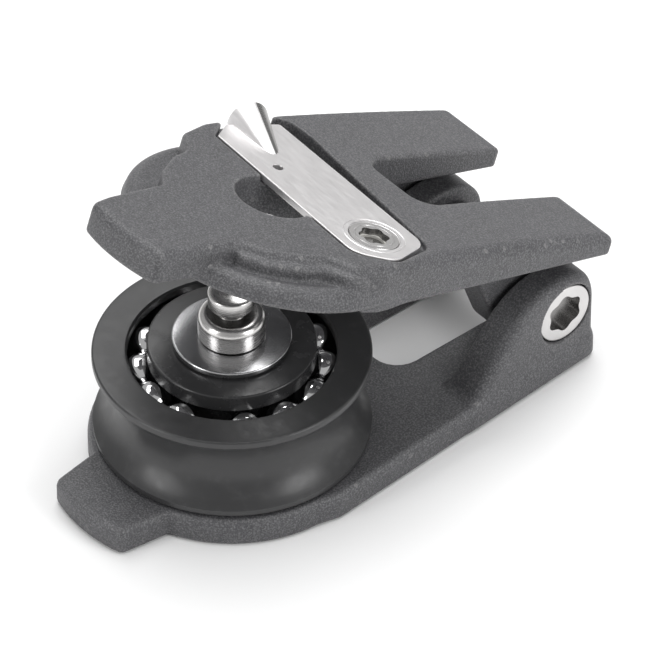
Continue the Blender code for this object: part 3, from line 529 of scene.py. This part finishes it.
# ---------------------------------------------------------------- distance fields
def outline_distance(outline, u, v):
    """Signed distance from a closed outline at the points of two broadcast coordinate arrays."""
    shape = np.broadcast_shapes(u.shape, v.shape)
    nearest = np.full(shape, 1e9, np.float32)
    inside = np.zeros(shape, bool)
    for (ax, ay), (bx, by) in zip(outline, outline[1:] + outline[:1]):
        ex, ey = bx - ax, by - ay
        length = ex * ex + ey * ey
        if length < 1e-9:
            continue
        part = np.clip(((u - ax) * ex + (v - ay) * ey) / length, 0, 1)
        nearest = np.minimum(nearest, (u - ax - ex * part) ** 2 + (v - ay - ey * part) ** 2)
        if ay != by:
            inside ^= ((ay > v) != (by > v)) & (u < ax + (v - ay) * ex / ey)
    distance = np.sqrt(nearest)
    return np.where(inside, -distance, distance).astype(np.float32)


def unite(first, second, radius):
    """Union with a fillet of that radius."""
    a, b = np.maximum(radius - first, 0), np.maximum(radius - second, 0)
    return np.maximum(radius, np.minimum(first, second)) - np.sqrt(a * a + b * b)


def keep(first, second, radius):
    """Intersection with its edge rounded to that radius."""
    a, b = np.maximum(radius + first, 0), np.maximum(radius + second, 0)
    return np.minimum(-radius, np.maximum(first, second)) + np.sqrt(a * a + b * b)


def remove(first, second, radius):
    return keep(first, -second, radius)


class Block:
    """A box of sample points in millimetres, on which a solid is built as a distance field."""

    def __init__(self, low, high, step):
        self.low, self.step = low, step
        self.x, self.y, self.z = (np.arange(a, b + step, step, dtype=np.float32)
                                  for a, b in zip(low, high))
        self.across = self.x[:, None, None]
        self.along = self.y[None, :, None]
        self.up = self.z[None, None, :]

    def prism_z(self, outline):
        return outline_distance(outline, self.x[:, None], self.y[None, :])[:, :, None]

    def prism_x(self, outline):
        return outline_distance(outline, self.y[:, None], self.z[None, :])[None, :, :]

    def turned(self, profile, centre=(0, 0)):
        """A solid of revolution from a closed profile of (radius, z)."""
        radii = np.arange(0, 60, self.step / 2, dtype=np.float32)
        table = outline_distance(profile, radii[:, None], self.z[None, :])
        place = np.hypot(self.x[:, None] - centre[0], self.y[None, :] - centre[1])
        place = np.minimum(place / (self.step / 2), len(radii) - 2)
        index = place.astype(int)
        part = (place - index)[:, :, None]
        return table[index] * (1 - part) + table[index + 1] * part

    def cylinder_x(self, centre, radius):
        return (np.hypot(self.y[:, None] - centre[0], self.z[None, :] - centre[1])
                - radius)[None, :, :]

    def slab_x(self, low, high):
        return np.maximum(low - self.across, self.across - high)

    def mesh(self, field, name):
        """The field's surface as an object in metres."""
        shape = (len(self.x), len(self.y), len(self.z))
        values = np.ascontiguousarray(np.broadcast_to(field, shape), dtype=np.float32)
        limit = 3 * self.step
        grid = openvdb.FloatGrid(limit)
        grid.copyFromArray(np.clip(values, -limit, limit))
        points, quads = grid.convertToQuads(0.0)
        points = points * self.step + np.array(self.low)
        mesh = bpy.data.meshes.new(name)
        mesh.from_pydata((points * MM).tolist(), [], quads[:, ::-1].tolist())
        return add_piece(name, mesh)


# ---------------------------------------------------------------- pieces in place
def settle(piece, body, slot, looks, *nodes, sharp=None, look=None, recess=None):
    """Shades a piece, gives it its finish, and puts it in the place of its nodes.

    The look is the slot's own one unless another is named. Faces whose centre in millimetres
    passes the recess test get darker steel as painted shade.
    """
    face_outwards(piece)
    piece.data.shade_smooth()
    if sharp:
        piece.data.set_sharp_from_angle(angle=math.radians(sharp))
    piece.data.materials.clear()
    # a second slot of darker steel paints shade on the faces that the recess test picks
    for name in (look or slot,) + (("steel_painted_shade",) if recess else ()):
        piece.data.materials.append(looks[name])
    if recess:
        for face in piece.data.polygons:
            face.material_index = int(recess(face.center / MM))
    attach(piece, body)
    if nodes:
        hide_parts(*nodes)


# ---------------------------------------------------------------- lower cheek
def lower_outline():
    """Plan of the lower cheek without its slot."""
    root_y = -math.sqrt(DISC_R ** 2 - LOWER_BEAK_ROOT ** 2)
    root_angle = math.degrees(math.atan2(root_y, LOWER_BEAK_ROOT))
    front = LOWER_BEAK_FRONT
    crown = [(x, front - BEAK_CROWN * (1 - (x / LOWER_BEAK_HALF) ** 2), 0)
             for x in (0, 2, 4, 6, 8)]
    half = crown + [(LOWER_BEAK_HALF, front, 1.5)]
    half += [(x, y, 0) for x, y in arc((0, 0), DISC_R, root_angle, -4, 24)]
    half += [(rail_x(3), 3, 4.0), (rail_x(REAR), REAR, 2.5)]
    return rounded(mirrored(half))


def rail_x(y):
    """Half width of the side rail, tapering from the disc to the ears."""
    return RAIL_FRONT + (EAR_OUTER - RAIL_FRONT) * y / REAR


def ear_outline():
    """Side view of an ear: a ramp up from the plate and a round end about the hinge axis."""
    top = HINGE.z + EAR_R
    corner = RAMP_START + (top - PLATE) / math.tan(math.radians(RAMP_ANGLE))
    ramp = rounded([(RAMP_START - 1.5, 0.0, 0), (RAMP_START - 1.5, PLATE - 1.8, 0),
                    (corner, top, RAMP_ROUND), (HINGE.y, top, 0)], 12)
    return ramp + arc((HINGE.y, HINGE.z), EAR_R, 84, 0, 14) + [(REAR, 0.0)]


def make_lower_cheek(looks):
    block = Block((-32.5, -41.5, -1.5), (32.5, 78.5, 27.0), GRID_STEP)
    plan = block.prism_z(lower_outline())
    plate = keep(plan + PARTING_STEP, block.up - PLATE, 1.2)
    plate = unite(plate, keep(plan, block.up - PARTING_HEIGHT, 0.2), 0.05)
    ear_side = block.prism_x(ear_outline())
    near_ear = keep(keep(ear_side, EAR_INNER - block.across, 0.5), plan, 2.6)
    far_slab = block.slab_x(-KNUCKLE_INNER - EAR_THICK, -KNUCKLE_INNER)
    far_ear = keep(keep(ear_side, far_slab, 0.9), plan, 0.5)
    body = unite(plate, near_ear, 1.6)
    body = unite(body, far_ear, 1.6)
    body = keep(body, -block.up, 0.8)
    body = remove(body, block.prism_z(slot_outline(SLOT_HALF, SLOT_START, SLOT_CORNER, REAR + 5)),
                  0.8)
    body = remove(body, block.cylinder_x((HINGE.y, HINGE.z), AXLE_HOLE_R), 0.3)
    bolt_place = keep(block.cylinder_x((HINGE.y, HINGE.z), BOLT_R + GAP),
                      EAR_OUTER - BOLT_PLACE_DEPTH - block.across, 0.2)
    body = remove(body, bolt_place, 0.35)
    nut_place = block.turned([(0, -2), (NUT_R, -2), (NUT_R, NUT_HEIGHT),
                              (RACE_BORE, NUT_HEIGHT), (RACE_BORE, 8), (0, 8)])
    body = remove(body, nut_place, 0.3)
    cheek = block.mesh(body, "lower_cheek_fine")
    thin_out(cheek)
    settle(cheek, "root", "nylon", looks, "lower_cheek")


# ---------------------------------------------------------------- upper cheek
def plateau_outline():
    """Plan of the raised top: beak, two stepped lobes each side, then the tapering sides."""
    front = UPPER_BEAK_FRONT
    crown = [(x, front - BEAK_CROWN * (1 - (x / UPPER_BEAK_HALF) ** 2), 0)
             for x in (0, 2, 4, 6, 8)]
    half = crown + [(UPPER_BEAK_HALF, front, 2.0), (UPPER_BEAK_ROOT, -20.6, 2.2),
                    (16.4, -17.0, 2.4), (20.4, -10.6, 4.5), (21.6, -5.6, 2.0),
                    (27.2, -2.2, 3.0), (CHEEK_SIDE, 5.6, 4.0), (PRONG_OUTER, PRONG_END, 1.3)]
    return rounded(mirrored(half))


def crown_height(y):
    """Height of the crowned top."""
    part = np.clip((y - FLAT_END) / (PRONG_END - FLAT_END), 0, 1.1)
    return TOP - CROWN_FALL * (0.35 * part + 0.65 * part ** 1.4)


def knuckle_outline():
    """Side view of a knuckle: a slope down from the prong and a round end about the hinge."""
    low = HINGE.z - KNUCKLE_R
    high = UNDERSIDE + 3
    corner = KNUCKLE_START + (UNDERSIDE - low) / math.tan(math.radians(RAMP_ANGLE))
    slope = rounded([(KNUCKLE_START - 2, high, 0), (KNUCKLE_START, UNDERSIDE, 0),
                     (corner, low, 8.0), (HINGE.y, low, 0)], 10)
    return slope + arc((HINGE.y, HINGE.z), KNUCKLE_R, -84, 25, 16) + [(HINGE.y + 4.0, high)]


def front_edge(x):
    """y of the latch's front edge."""
    return LATCH_FRONT - LATCH_SLOPE * x


def latch_corners(gap=0.0):
    """Plan corners of the latch, grown by a gap at the front."""
    px, py = PIVOT.x, PIVOT.y
    end = px + 9.4
    return [(-LATCH_TIP + 3.2, front_edge(-LATCH_TIP) - gap, 0.8),
            (px + 4.0, front_edge(px) - gap, 6.0), (end + gap, py - 2.0, 5.0),
            (end - 3.6 + gap, LATCH_REAR - 1.8, 4.0),
            (-LATCH_TIP + 3.2, LATCH_REAR + 0.6, 0.8), (-LATCH_TIP, py - 1.0, 0.8)]


def recess_outline():
    """Plan of the latch recess: close in front, with room for the latch to swing behind."""
    corner, bend, end, rear = latch_corners(LATCH_SIDE_GAP)[:4]
    reach = PIVOT.x + LATCH_TIP - 3.2
    rise = reach * math.sin(math.radians(LATCH_SWING)) * 0.95
    beyond = CHEEK_SIDE + 6
    tip = PIVOT.y - 1.0
    return rounded([(-beyond, tip - 1.4, 0), (-LATCH_TIP - 0.6, tip - 0.6, 1.0),
                    (corner[0] - 0.3, corner[1], 0.6), bend, end,
                    (rear[0] + 0.6, rear[1] + 0.9, 4.0),
                    (-reach + PIVOT.x + 5.5, LATCH_REAR + rise + 1.2, 3.0),
                    (-reach + PIVOT.x - 1.0, LATCH_REAR + rise + 1.0, 3.0),
                    (-beyond, LATCH_REAR - 4.0, 0)], 8)


def latch_place(block):
    """The latch recess, with the deeper well behind the latch."""
    plan = block.prism_z(recess_outline())
    well = keep(plan, TOP - WELL_DEPTH - block.up, 0.3)
    well = keep(keep(well, WELL_FRONT - block.along, 0.3), block.across - WELL_END, 0.3)
    return np.minimum(keep(plan, LATCH_BOTTOM - GAP - block.up, 0.1), well)


def belly_height(y):
    """Height of the cheek's underside: beak, rim, pocket side and prongs in turn."""
    beak_end = -math.sqrt(SHEAVE_R ** 2 - UPPER_BEAK_ROOT ** 2)
    return np.interp(y, (-45, beak_end, beak_end + 1.5, 1.0, 2.2, 9, 14, 80),
                     (UPPER_BEAK_BOTTOM, UPPER_BEAK_BOTTOM, RIM_BOTTOM, RIM_BOTTOM,
                      UNDERSIDE - 0.6, UNDERSIDE - 0.6, UNDERSIDE, UNDERSIDE)).astype(np.float32)


def top_edge(block):
    """Radius of the top edge: soft near and along the front, crisper on the far side."""
    soft = np.interp(block.y, (-45, -24, 0, 14, 30, 72, 76), (2.6, 2.0, 1.8, 2.6, 3.0, 2.6, 1.4))
    crisp = np.interp(block.y, (-45, -41, -36, 80), (2.4, 2.0, 0.8, 0.8))
    near_share = np.interp(block.x, (-7, 7), (0, 1))[:, None, None]
    edge = crisp[None, :, None] * (1 - near_share) + soft[None, :, None] * near_share
    return edge.astype(np.float32)


def terrace(block, plan):
    """The lower step around the near lobes, an even margin outside the plateau."""
    step = keep(plan - 1.7, block.up - (TOP - 1.5), 1.3)
    step = keep(step, 3.0 - block.across, 1.5)
    step = keep(step, -21.3 - block.along, 0.8)
    return keep(step, block.along - 1.2, 1.5)


def rim_profile():
    """The disc rim: a parting step low on its wall, a soft ridge, and a shallow valley inside."""
    ridge = RIM_TOP + 0.2
    wall = RIM_R - PARTING_STEP
    return rounded([(0, RIM_BOTTOM, 0), (RIM_R, RIM_BOTTOM, 0.3), (RIM_R, RIM_BOTTOM + 0.9, 0.1),
                    (wall, RIM_BOTTOM + 1.0, 0.05), (wall, ridge - 0.6, 2.4),
                    (RIM_R - 3.2, ridge + 0.1, 1.4), (RIM_R - 5.4, ridge - 0.7, 1.5),
                    (RIM_R - 8.0, ridge, 0), (0, ridge, 0)])


def far_lobe(block):
    """The flat top of the disc on the far side, where the rim has no valley."""
    edge, top = RIM_R - 2.2, RIM_TOP + 0.2
    disc = block.turned([(0, RIM_BOTTOM), (edge, RIM_BOTTOM), (edge, top), (0, top)])
    return keep(disc, block.across + 6, 3.0)


def slanted_hole(block, low):
    """The post hole, whose centre moves with height."""
    part = (block.up - low) / (TOP - low)
    x, y, radius = (a + (b - a) * part for a, b in zip(HOLE_LOW, HOLE_TOP))
    around = np.sqrt((block.across - x) ** 2 + (block.along - y) ** 2) - radius
    return np.maximum(around, low - 1 - block.up)


def make_upper_cheek(looks):
    block = Block((-33.0, -44.5, 5.0), (33.0, 77.5, TOP + 1.8), GRID_STEP)
    plan = block.prism_z(plateau_outline())
    body = keep(plan, block.up - crown_height(block.along), top_edge(block))
    body = unite(body, terrace(block, plan), 0.5)
    body = keep(body, belly_height(block.along) - block.up, 0.7)
    body = unite(body, block.turned(rim_profile()), 1.0)
    body = unite(body, far_lobe(block), 0.5)
    knuckle_side = block.prism_x(knuckle_outline())
    near = block.slab_x(KNUCKLE_INNER, EAR_INNER - LEAF_GAP)
    far = block.slab_x(-EAR_OUTER, -KNUCKLE_INNER - EAR_THICK - LEAF_GAP)
    for slab in (near, far):
        body = unite(body, keep(knuckle_side, slab, 0.9), 1.2)
    body = remove(body, block.prism_z(slot_outline(UPPER_SLOT_HALF, UPPER_SLOT_START,
                                                   UPPER_SLOT_CORNER, PRONG_END + 5)), 0.9)
    body = remove(body, block.cylinder_x((HINGE.y, HINGE.z), BUSH_HOLE_R), 0.3)
    bolt_place = keep(block.cylinder_x((HINGE.y, HINGE.z), BOLT_R + GAP),
                      block.across + EAR_OUTER - BOLT_PLACE_DEPTH, 0.2)
    body = remove(body, bolt_place, 0.35)
    roof = WASHER_HIGH.z + GAP
    pocket = block.turned([(0, 0), (POCKET_R, 0), (POCKET_R, roof), (0, roof)])
    body = remove(body, pocket, 0.4)
    lip = np.interp(block.z, (roof, roof + 3), (0.02, 0.3)).astype(np.float32)
    body = remove(body, slanted_hole(block, roof), lip[None, None, :])
    body = remove(body, latch_place(block), 0.45)
    seat = UNDERSIDE + SCREW_NUT_PLACE
    shaft = [(0, 0), (SCREW_NUT_R, 0), (SCREW_NUT_R, seat), (SCREW_HOLE_R, seat),
             (SCREW_HOLE_R, TOP + 5), (0, TOP + 5)]
    body = remove(body, block.turned(shaft, (PIVOT.x, PIVOT.y)), 0.3)
    cheek = block.mesh(body, "upper_cheek_fine")
    cheek.data.transform(OPENED_METRES)
    thin_out(cheek)
    settle(cheek, "upper_cheek", "nylon", looks, "upper_cheek")


# ---------------------------------------------------------------- turned pieces
def lathe(name, profile, segments, centre=(0, 0)):
    """A piece turned about a line along Z from a profile of (radius, z); poles at radius 0."""
    points, faces = [], []
    closed_ring = profile[0][0] > 1e-6
    rings = []
    for r, z in profile:
        if r < 1e-6:
            rings.append([len(points)] * segments)
            points.append((centre[0], centre[1], z))
            continue
        rings.append(list(range(len(points), len(points) + segments)))
        points += [(centre[0] + r * math.cos(2 * math.pi * j / segments),
                    centre[1] + r * math.sin(2 * math.pi * j / segments), z)
                   for j in range(segments)]
    pairs = list(zip(rings, rings[1:] + rings[:1])) if closed_ring else list(zip(rings, rings[1:]))
    for low, high in pairs:
        for j in range(segments):
            k = (j + 1) % segments
            face = [low[j], low[k], high[k], high[j]]
            faces.append(tuple(dict.fromkeys(face)))
    return piece_from(name, points, faces)


def cap(points, radius, steps=4):
    """An open profile whose inner corners are rounded to a small radius."""
    path = [points[0]]
    for before, here, after in zip(points, points[1:], points[2:]):
        here_v = Vector(here)
        one = Vector(before) - here_v
        two = Vector(after) - here_v
        reach = min(radius, one.length * 0.45, two.length * 0.45)
        start, end = here_v + one.normalized() * reach, here_v + two.normalized() * reach
        for i in range(steps + 1):
            t = i / steps
            path.append(tuple(start * (1 - t) ** 2 + here_v * 2 * t * (1 - t) + end * t ** 2))
    return path + [points[-1]]


def make_sheave(looks):
    """The sheave: rope groove outside, two race grooves inside."""
    offset = BALL_ROW - SHEAVE_MIDDLE
    lip_reach = 2.5
    lip = BALL_PITCH + lip_reach
    depth = 4.55
    half = (SHEAVE_HIGH.z - SHEAVE_LOW.z) / 2
    mouth = half - 1.7
    groove_radius = (mouth ** 2 + depth ** 2) / (2 * depth)
    angle = math.degrees(math.asin(mouth / groove_radius))
    floor = SHEAVE_R - depth
    groove = arc((floor + groove_radius, SHEAVE_MIDDLE), groove_radius, 180 - angle,
                 180 + angle, 28)
    upper = [(lip, SHEAVE_HIGH.z - 0.5), (lip + 0.4, SHEAVE_HIGH.z - 0.05),
             (lip + 1.0, SHEAVE_HIGH.z), (SHEAVE_R - 1.2, SHEAVE_HIGH.z - 0.2)]
    upper += arc((SHEAVE_R - 0.5, SHEAVE_HIGH.z - 0.7), 0.5, 90, 0, 6)
    lower = [(r, 2 * SHEAVE_MIDDLE - z) for r, z in reversed(upper)]
    reach = math.degrees(math.acos(lip_reach / RACE_R))
    inner = arc((BALL_PITCH, SHEAVE_MIDDLE - offset), RACE_R, -reach, reach, 14)
    inner += arc((BALL_PITCH, SHEAVE_MIDDLE + offset), RACE_R, -reach, reach, 14)
    piece = lathe("sheave_fine", upper + groove + lower + inner, 160)
    settle(piece, "sheave", "sheave_black", looks, "sheave", sharp=32)


def make_inner_race(looks, name, row, flange_z, split_z):
    """One half of the split inner race: its ball groove and its flange, up or down."""
    side = 1 if flange_z > split_z else -1
    land = 1.8
    start = 180 + side * math.degrees(math.acos(land / RACE_R))
    end = 180 - side * math.degrees(math.acos((BALL_PITCH - RING_R) / RACE_R))
    rim = cap([(RING_R, flange_z - side * 1.4), (RING_R, flange_z), (RACE_BORE, flange_z)],
              0.45, 5)
    profile = [(RACE_BORE, split_z), (BALL_PITCH - land, split_z)]
    profile += arc((BALL_PITCH, row), RACE_R, start, end, 14)
    piece = lathe(name + "_fine", profile + rim, 128)
    settle(piece, "root", "race_black", looks, name, sharp=32)


def make_balls(looks):
    """Every ball of both rows, finely round."""
    for row in ("upper", "lower"):
        index = 1
        while f"{row}_ball_{index:02d}" in frame["nodes"]:
            node = f"{row}_ball_{index:02d}"
            low, high = box_mm(node)
            centre = (low + high) / 2
            work = bmesh.new()
            bmesh.ops.create_uvsphere(work, u_segments=36, v_segments=20, radius=BALL_R * MM,
                                      matrix=Matrix.Translation(centre * MM))
            mesh = bpy.data.meshes.new(node + "_fine")
            work.to_mesh(mesh)
            work.free()
            settle(add_piece(node + "_fine", mesh), "balls", "ball_steel", looks, node)
            index += 1


def make_washer(looks):
    low, high = WASHER_LOW.z, WASHER_HIGH.z
    profile = cap([(RACE_BORE, high), (WASHER_R, high), (WASHER_R, low), (RACE_BORE, low)], 0.35)
    piece = lathe("race_washer_fine", profile, 128)
    settle(piece, "root", "steel_washer", looks, "race_washer", sharp=40)


def quarter(inner, outer, low, high, steps):
    """A quarter of an ellipse in a profile, from the outer radius below to the inner above."""
    turns = [math.radians(90 * i / steps) for i in range(steps + 1)]
    return [(inner + (outer - inner) * math.cos(turn), low + (high - low) * math.sin(turn))
            for turn in turns]


def make_post(looks):
    """The centre post: shank through the races, broad rounded shoulder, neck and domed head."""
    shoulder = WASHER_HIGH.z + GAP
    neck_low, neck_top = LATCH_BOTTOM - GAP, TOP + GAP
    foot = 0.5
    profile = [(0, 0), (POST_FOOT_R - foot, 0), (POST_FOOT_R, foot), (POST_FOOT_R, NUT_HEIGHT),
               (POST_R, NUT_HEIGHT), (POST_R, shoulder), (SHOULDER_R - 0.3, shoulder),
               (SHOULDER_R, shoulder + 0.3)]
    turn_start = shoulder + SHOULDER_STRAIGHT
    profile += quarter(SHOULDER_WAIST, SHOULDER_R, turn_start, neck_low, 14)
    profile += cap([(NECK_R + 0.1, neck_low), (NECK_R, neck_low + 0.2), (NECK_R, neck_top)],
                   0.2, 2)
    profile += [(HEAD_R - 0.25, neck_top), (HEAD_R, neck_top + 0.25)]
    profile += quarter(0, HEAD_R, neck_top + HEAD_STRAIGHT, POST_HIGH.z, 12)[:-1]
    piece = lathe("centre_post_fine", profile + [(0, POST_HIGH.z)], 96)
    # the neck groove gets darker steel: painted shade in the narrow groove
    settle(piece, "root", "steel_bright", looks, "centre_post", sharp=30,
           recess=lambda p: (neck_low - 0.1 < p.z < neck_top + 0.1
                             and math.hypot(p.x, p.y) < HEAD_R - 0.1))


# ---------------------------------------------------------------- screw heads
def prism(name, outline, low, high):
    """A closed outline swept along Z, in metres, faces outwards."""
    count = len(outline)
    points = [(x, y, low) for x, y in outline] + [(x, y, high) for x, y in outline]
    faces = [tuple(range(count))[::-1], tuple(range(count, 2 * count))]
    faces += [(i, (i + 1) % count, count + (i + 1) % count, count + i) for i in range(count)]
    made = piece_from(name, points, faces)
    face_outwards(made)
    return made


def in_socket(side, point):
    """Whether a point is in the socket of the hinge bolt on that side."""
    away = math.hypot(point.y - HINGE.y, point.z - HINGE.z)
    depth = EAR_OUTER - side * point.x
    return 0.2 < depth < BOLT_SOCKET[2] + 0.3 and away < BOLT_SOCKET[0] + 0.4


def make_hinge_bolts(looks):
    """Two bolts with flat, faintly bevelled heads and deep six-lobed sockets."""
    for side, label in ((1, "near"), (-1, "far")):
        head, end = -BOLT_HEAD_HEIGHT, -12.0
        profile = [(0, 0)] + cap([(0.01, 0), (BOLT_R, 0), (BOLT_R, head), (SHANK_R, head),
                                  (SHANK_R, end)], 0.35) + [(0, end)]
        bolt = lathe(f"hinge_bolt_{label}_fine", profile, 96)
        outer, inner, depth = BOLT_SOCKET
        combine(bolt, prism("socket", lobed(outer, inner), -depth, 1.0), "DIFFERENCE")
        bolt.data.transform(Matrix.Translation(Vector((side * EAR_OUTER, HINGE.y, HINGE.z)) * MM)
                            @ Matrix.Rotation(side * math.pi / 2, 4, "Y"))
        # faces inside the socket get darker steel: painted shade in the socket
        settle(bolt, "hinge_axle", "steel_bright", looks, f"hinge_bolt_{label}", sharp=35,
               look="steel_bolt", recess=lambda p, s=side: in_socket(s, p))


def in_screw_socket(point):
    """Whether a point of the closed cheek is in the socket of the latch screw."""
    away = math.hypot(point.x - PIVOT.x, point.y - PIVOT.y)
    return 0.2 < TOP - point.z < SCREW_SOCKET[2] + 0.2 and away < SCREW_SOCKET[0] + 0.2


def make_latch_screw(looks):
    """The countersunk pivot screw, with a turned ring around its socket."""
    profile = [(0, TOP), (3.9, TOP), (4.0, TOP - 0.12), (4.15, TOP - 0.12), (4.25, TOP),
               (SCREW_R - 0.1, TOP), (SCREW_R, TOP - 0.15), (3.6, TOP - 1.7), (3.6, TOP - 2.6),
               (SHANK_R, TOP - 2.6), (SHANK_R, TOP - 7.0), (0, TOP - 7.0)]
    screw = lathe("latch_screw_fine", profile, 96, (PIVOT.x, PIVOT.y))
    outer, inner, depth = SCREW_SOCKET
    socket = [(PIVOT.x + x, PIVOT.y + y) for x, y in lobed(outer, inner)]
    combine(screw, prism("socket", socket, TOP - depth, TOP + 1), "DIFFERENCE")
    screw.data.transform(OPENED_METRES)
    # faces inside the socket get darker steel: painted shade in the socket
    settle(screw, "upper_cheek", "steel_bright", looks, "latch_screw", sharp=35,
           look="steel_bolt", recess=lambda p: in_screw_socket(CLOSED @ p))


# ---------------------------------------------------------------- latch
def thumb_solid(name, wall, start, reach):
    """The thumb ridge, or its hollow with a wall left around it, as a tapering half tube."""
    apex, tip = Vector(THUMB_APEX), Vector(THUMB_TIP)
    along = (tip - apex).normalized()
    across = Vector((-along.y, along.x))
    base = TOP - LATCH_THICK / 2
    rings, ring = 16, 24
    points, faces = [], []
    for i in range(rings + 1):
        part = start + (reach - start) * i / rings
        half = THUMB_NOSE + (THUMB_HALF - THUMB_NOSE) * part - wall
        height = LATCH_THICK / 2 - 0.1 + (THUMB_HEIGHT - LATCH_THICK / 2) * part - wall
        centre = apex + (tip - apex) * part
        for j in range(ring + 1):
            turn = math.pi * j / ring
            at = centre + across * (half * math.cos(turn))
            points.append((at.x, at.y, base + height * math.sin(turn) ** 0.85))
    size = ring + 1
    for i in range(rings):
        faces += [(i * size + j, i * size + (j + 1) % size, (i + 1) * size + (j + 1) % size,
                   (i + 1) * size + j) for j in range(size)]
    faces += [tuple(range(size)), tuple(range(rings * size, (rings + 1) * size))]
    made = piece_from(name, points, faces)
    face_outwards(made)
    return made


def behind_crest(point):
    """Whether a point of the closed cheek is on the shaded rear side of the thumb ridge."""
    apex, tip = Vector(THUMB_APEX), Vector(THUMB_TIP)
    along = (tip - apex).normalized()
    offset = Vector((point.x, point.y)) - apex
    half = THUMB_NOSE + (THUMB_HALF - THUMB_NOSE) * offset.dot(along) / (tip - apex).length
    behind = offset.x * along.y - offset.y * along.x
    return point.z > TOP + 0.05 and offset.dot(along) > 0 and 0.1 < behind / half < 0.97


def make_latch(looks):
    """The satin steel plate, with its ridge pressed up as half a cone, open at the tip."""
    latch = prism("latch_fine", rounded(latch_corners(), 10), LATCH_BOTTOM, TOP)
    bevel = latch.modifiers.new("edges", "BEVEL")
    bevel.width = 0.22 * MM
    bevel.segments = 3
    bevel.angle_limit = math.radians(60)
    apply_modifiers(latch)
    combine(latch, thumb_solid("ridge", 0.0, 0.0, 1.0), "UNION")
    combine(latch, thumb_solid("hollow", THUMB_WALL, 0.3, 1.2), "DIFFERENCE")
    countersink = [(0, TOP - 3), (SCREW_BORE, TOP - 3), (SCREW_BORE, TOP - 1.4),
                   (SCREW_R + GAP, TOP - 0.1), (SCREW_R + GAP, TOP + 1), (0, TOP + 1)]
    combine(latch, lathe("sink", countersink, 96, (PIVOT.x, PIVOT.y)), "DIFFERENCE")
    ring = [(6.25, TOP + 1), (6.25, TOP - 0.05), (6.4, TOP - 0.13), (6.55, TOP - 0.05),
            (6.55, TOP + 1)]
    combine(latch, lathe("ring", ring, 96, (PIVOT.x, PIVOT.y)), "DIFFERENCE")
    hole = [(0, TOP - 3), (1.1, TOP - 3), (1.1, TOP - 0.15), (1.4, TOP + 1), (0, TOP + 1)]
    combine(latch, lathe("lanyard_hole", hole, 32, LANYARD_HOLE), "DIFFERENCE")
    latch.data.transform(OPENED_METRES)
    # the rear side of the thumb ridge gets darker steel: a painted shade band
    settle(latch, "latch", "steel_satin", looks, "latch", sharp=14,
           recess=lambda p: behind_crest(CLOSED @ p))


# ---------------------------------------------------------------- assembly
def dress_nodes(looks):
    """Gives the carried-over CAD nodes their fine materials."""
    for part in frame["record"]["subparts"]:
        node = frame["nodes"][part["node"]]
        node.data.materials.clear()
        node.data.materials.append(looks[part["material_slot"]])


def main():
    add_camera()
    add_studio()
    looks = make_looks()
    dress_nodes(looks)
    make_lower_cheek(looks)
    make_upper_cheek(looks)
    make_sheave(looks)
    offset = BALL_ROW - SHEAVE_MIDDLE
    make_inner_race(looks, "inner_race_upper", SHEAVE_MIDDLE + offset, RING_HIGH.z,
                    SHEAVE_MIDDLE + GAP / 2)
    make_inner_race(looks, "inner_race_lower", SHEAVE_MIDDLE - offset, PLATE + GAP,
                    SHEAVE_MIDDLE - GAP / 2)
    make_balls(looks)
    make_washer(looks)
    make_post(looks)
    make_hinge_bolts(looks)
    make_latch_screw(looks)
    make_latch(looks)


main()
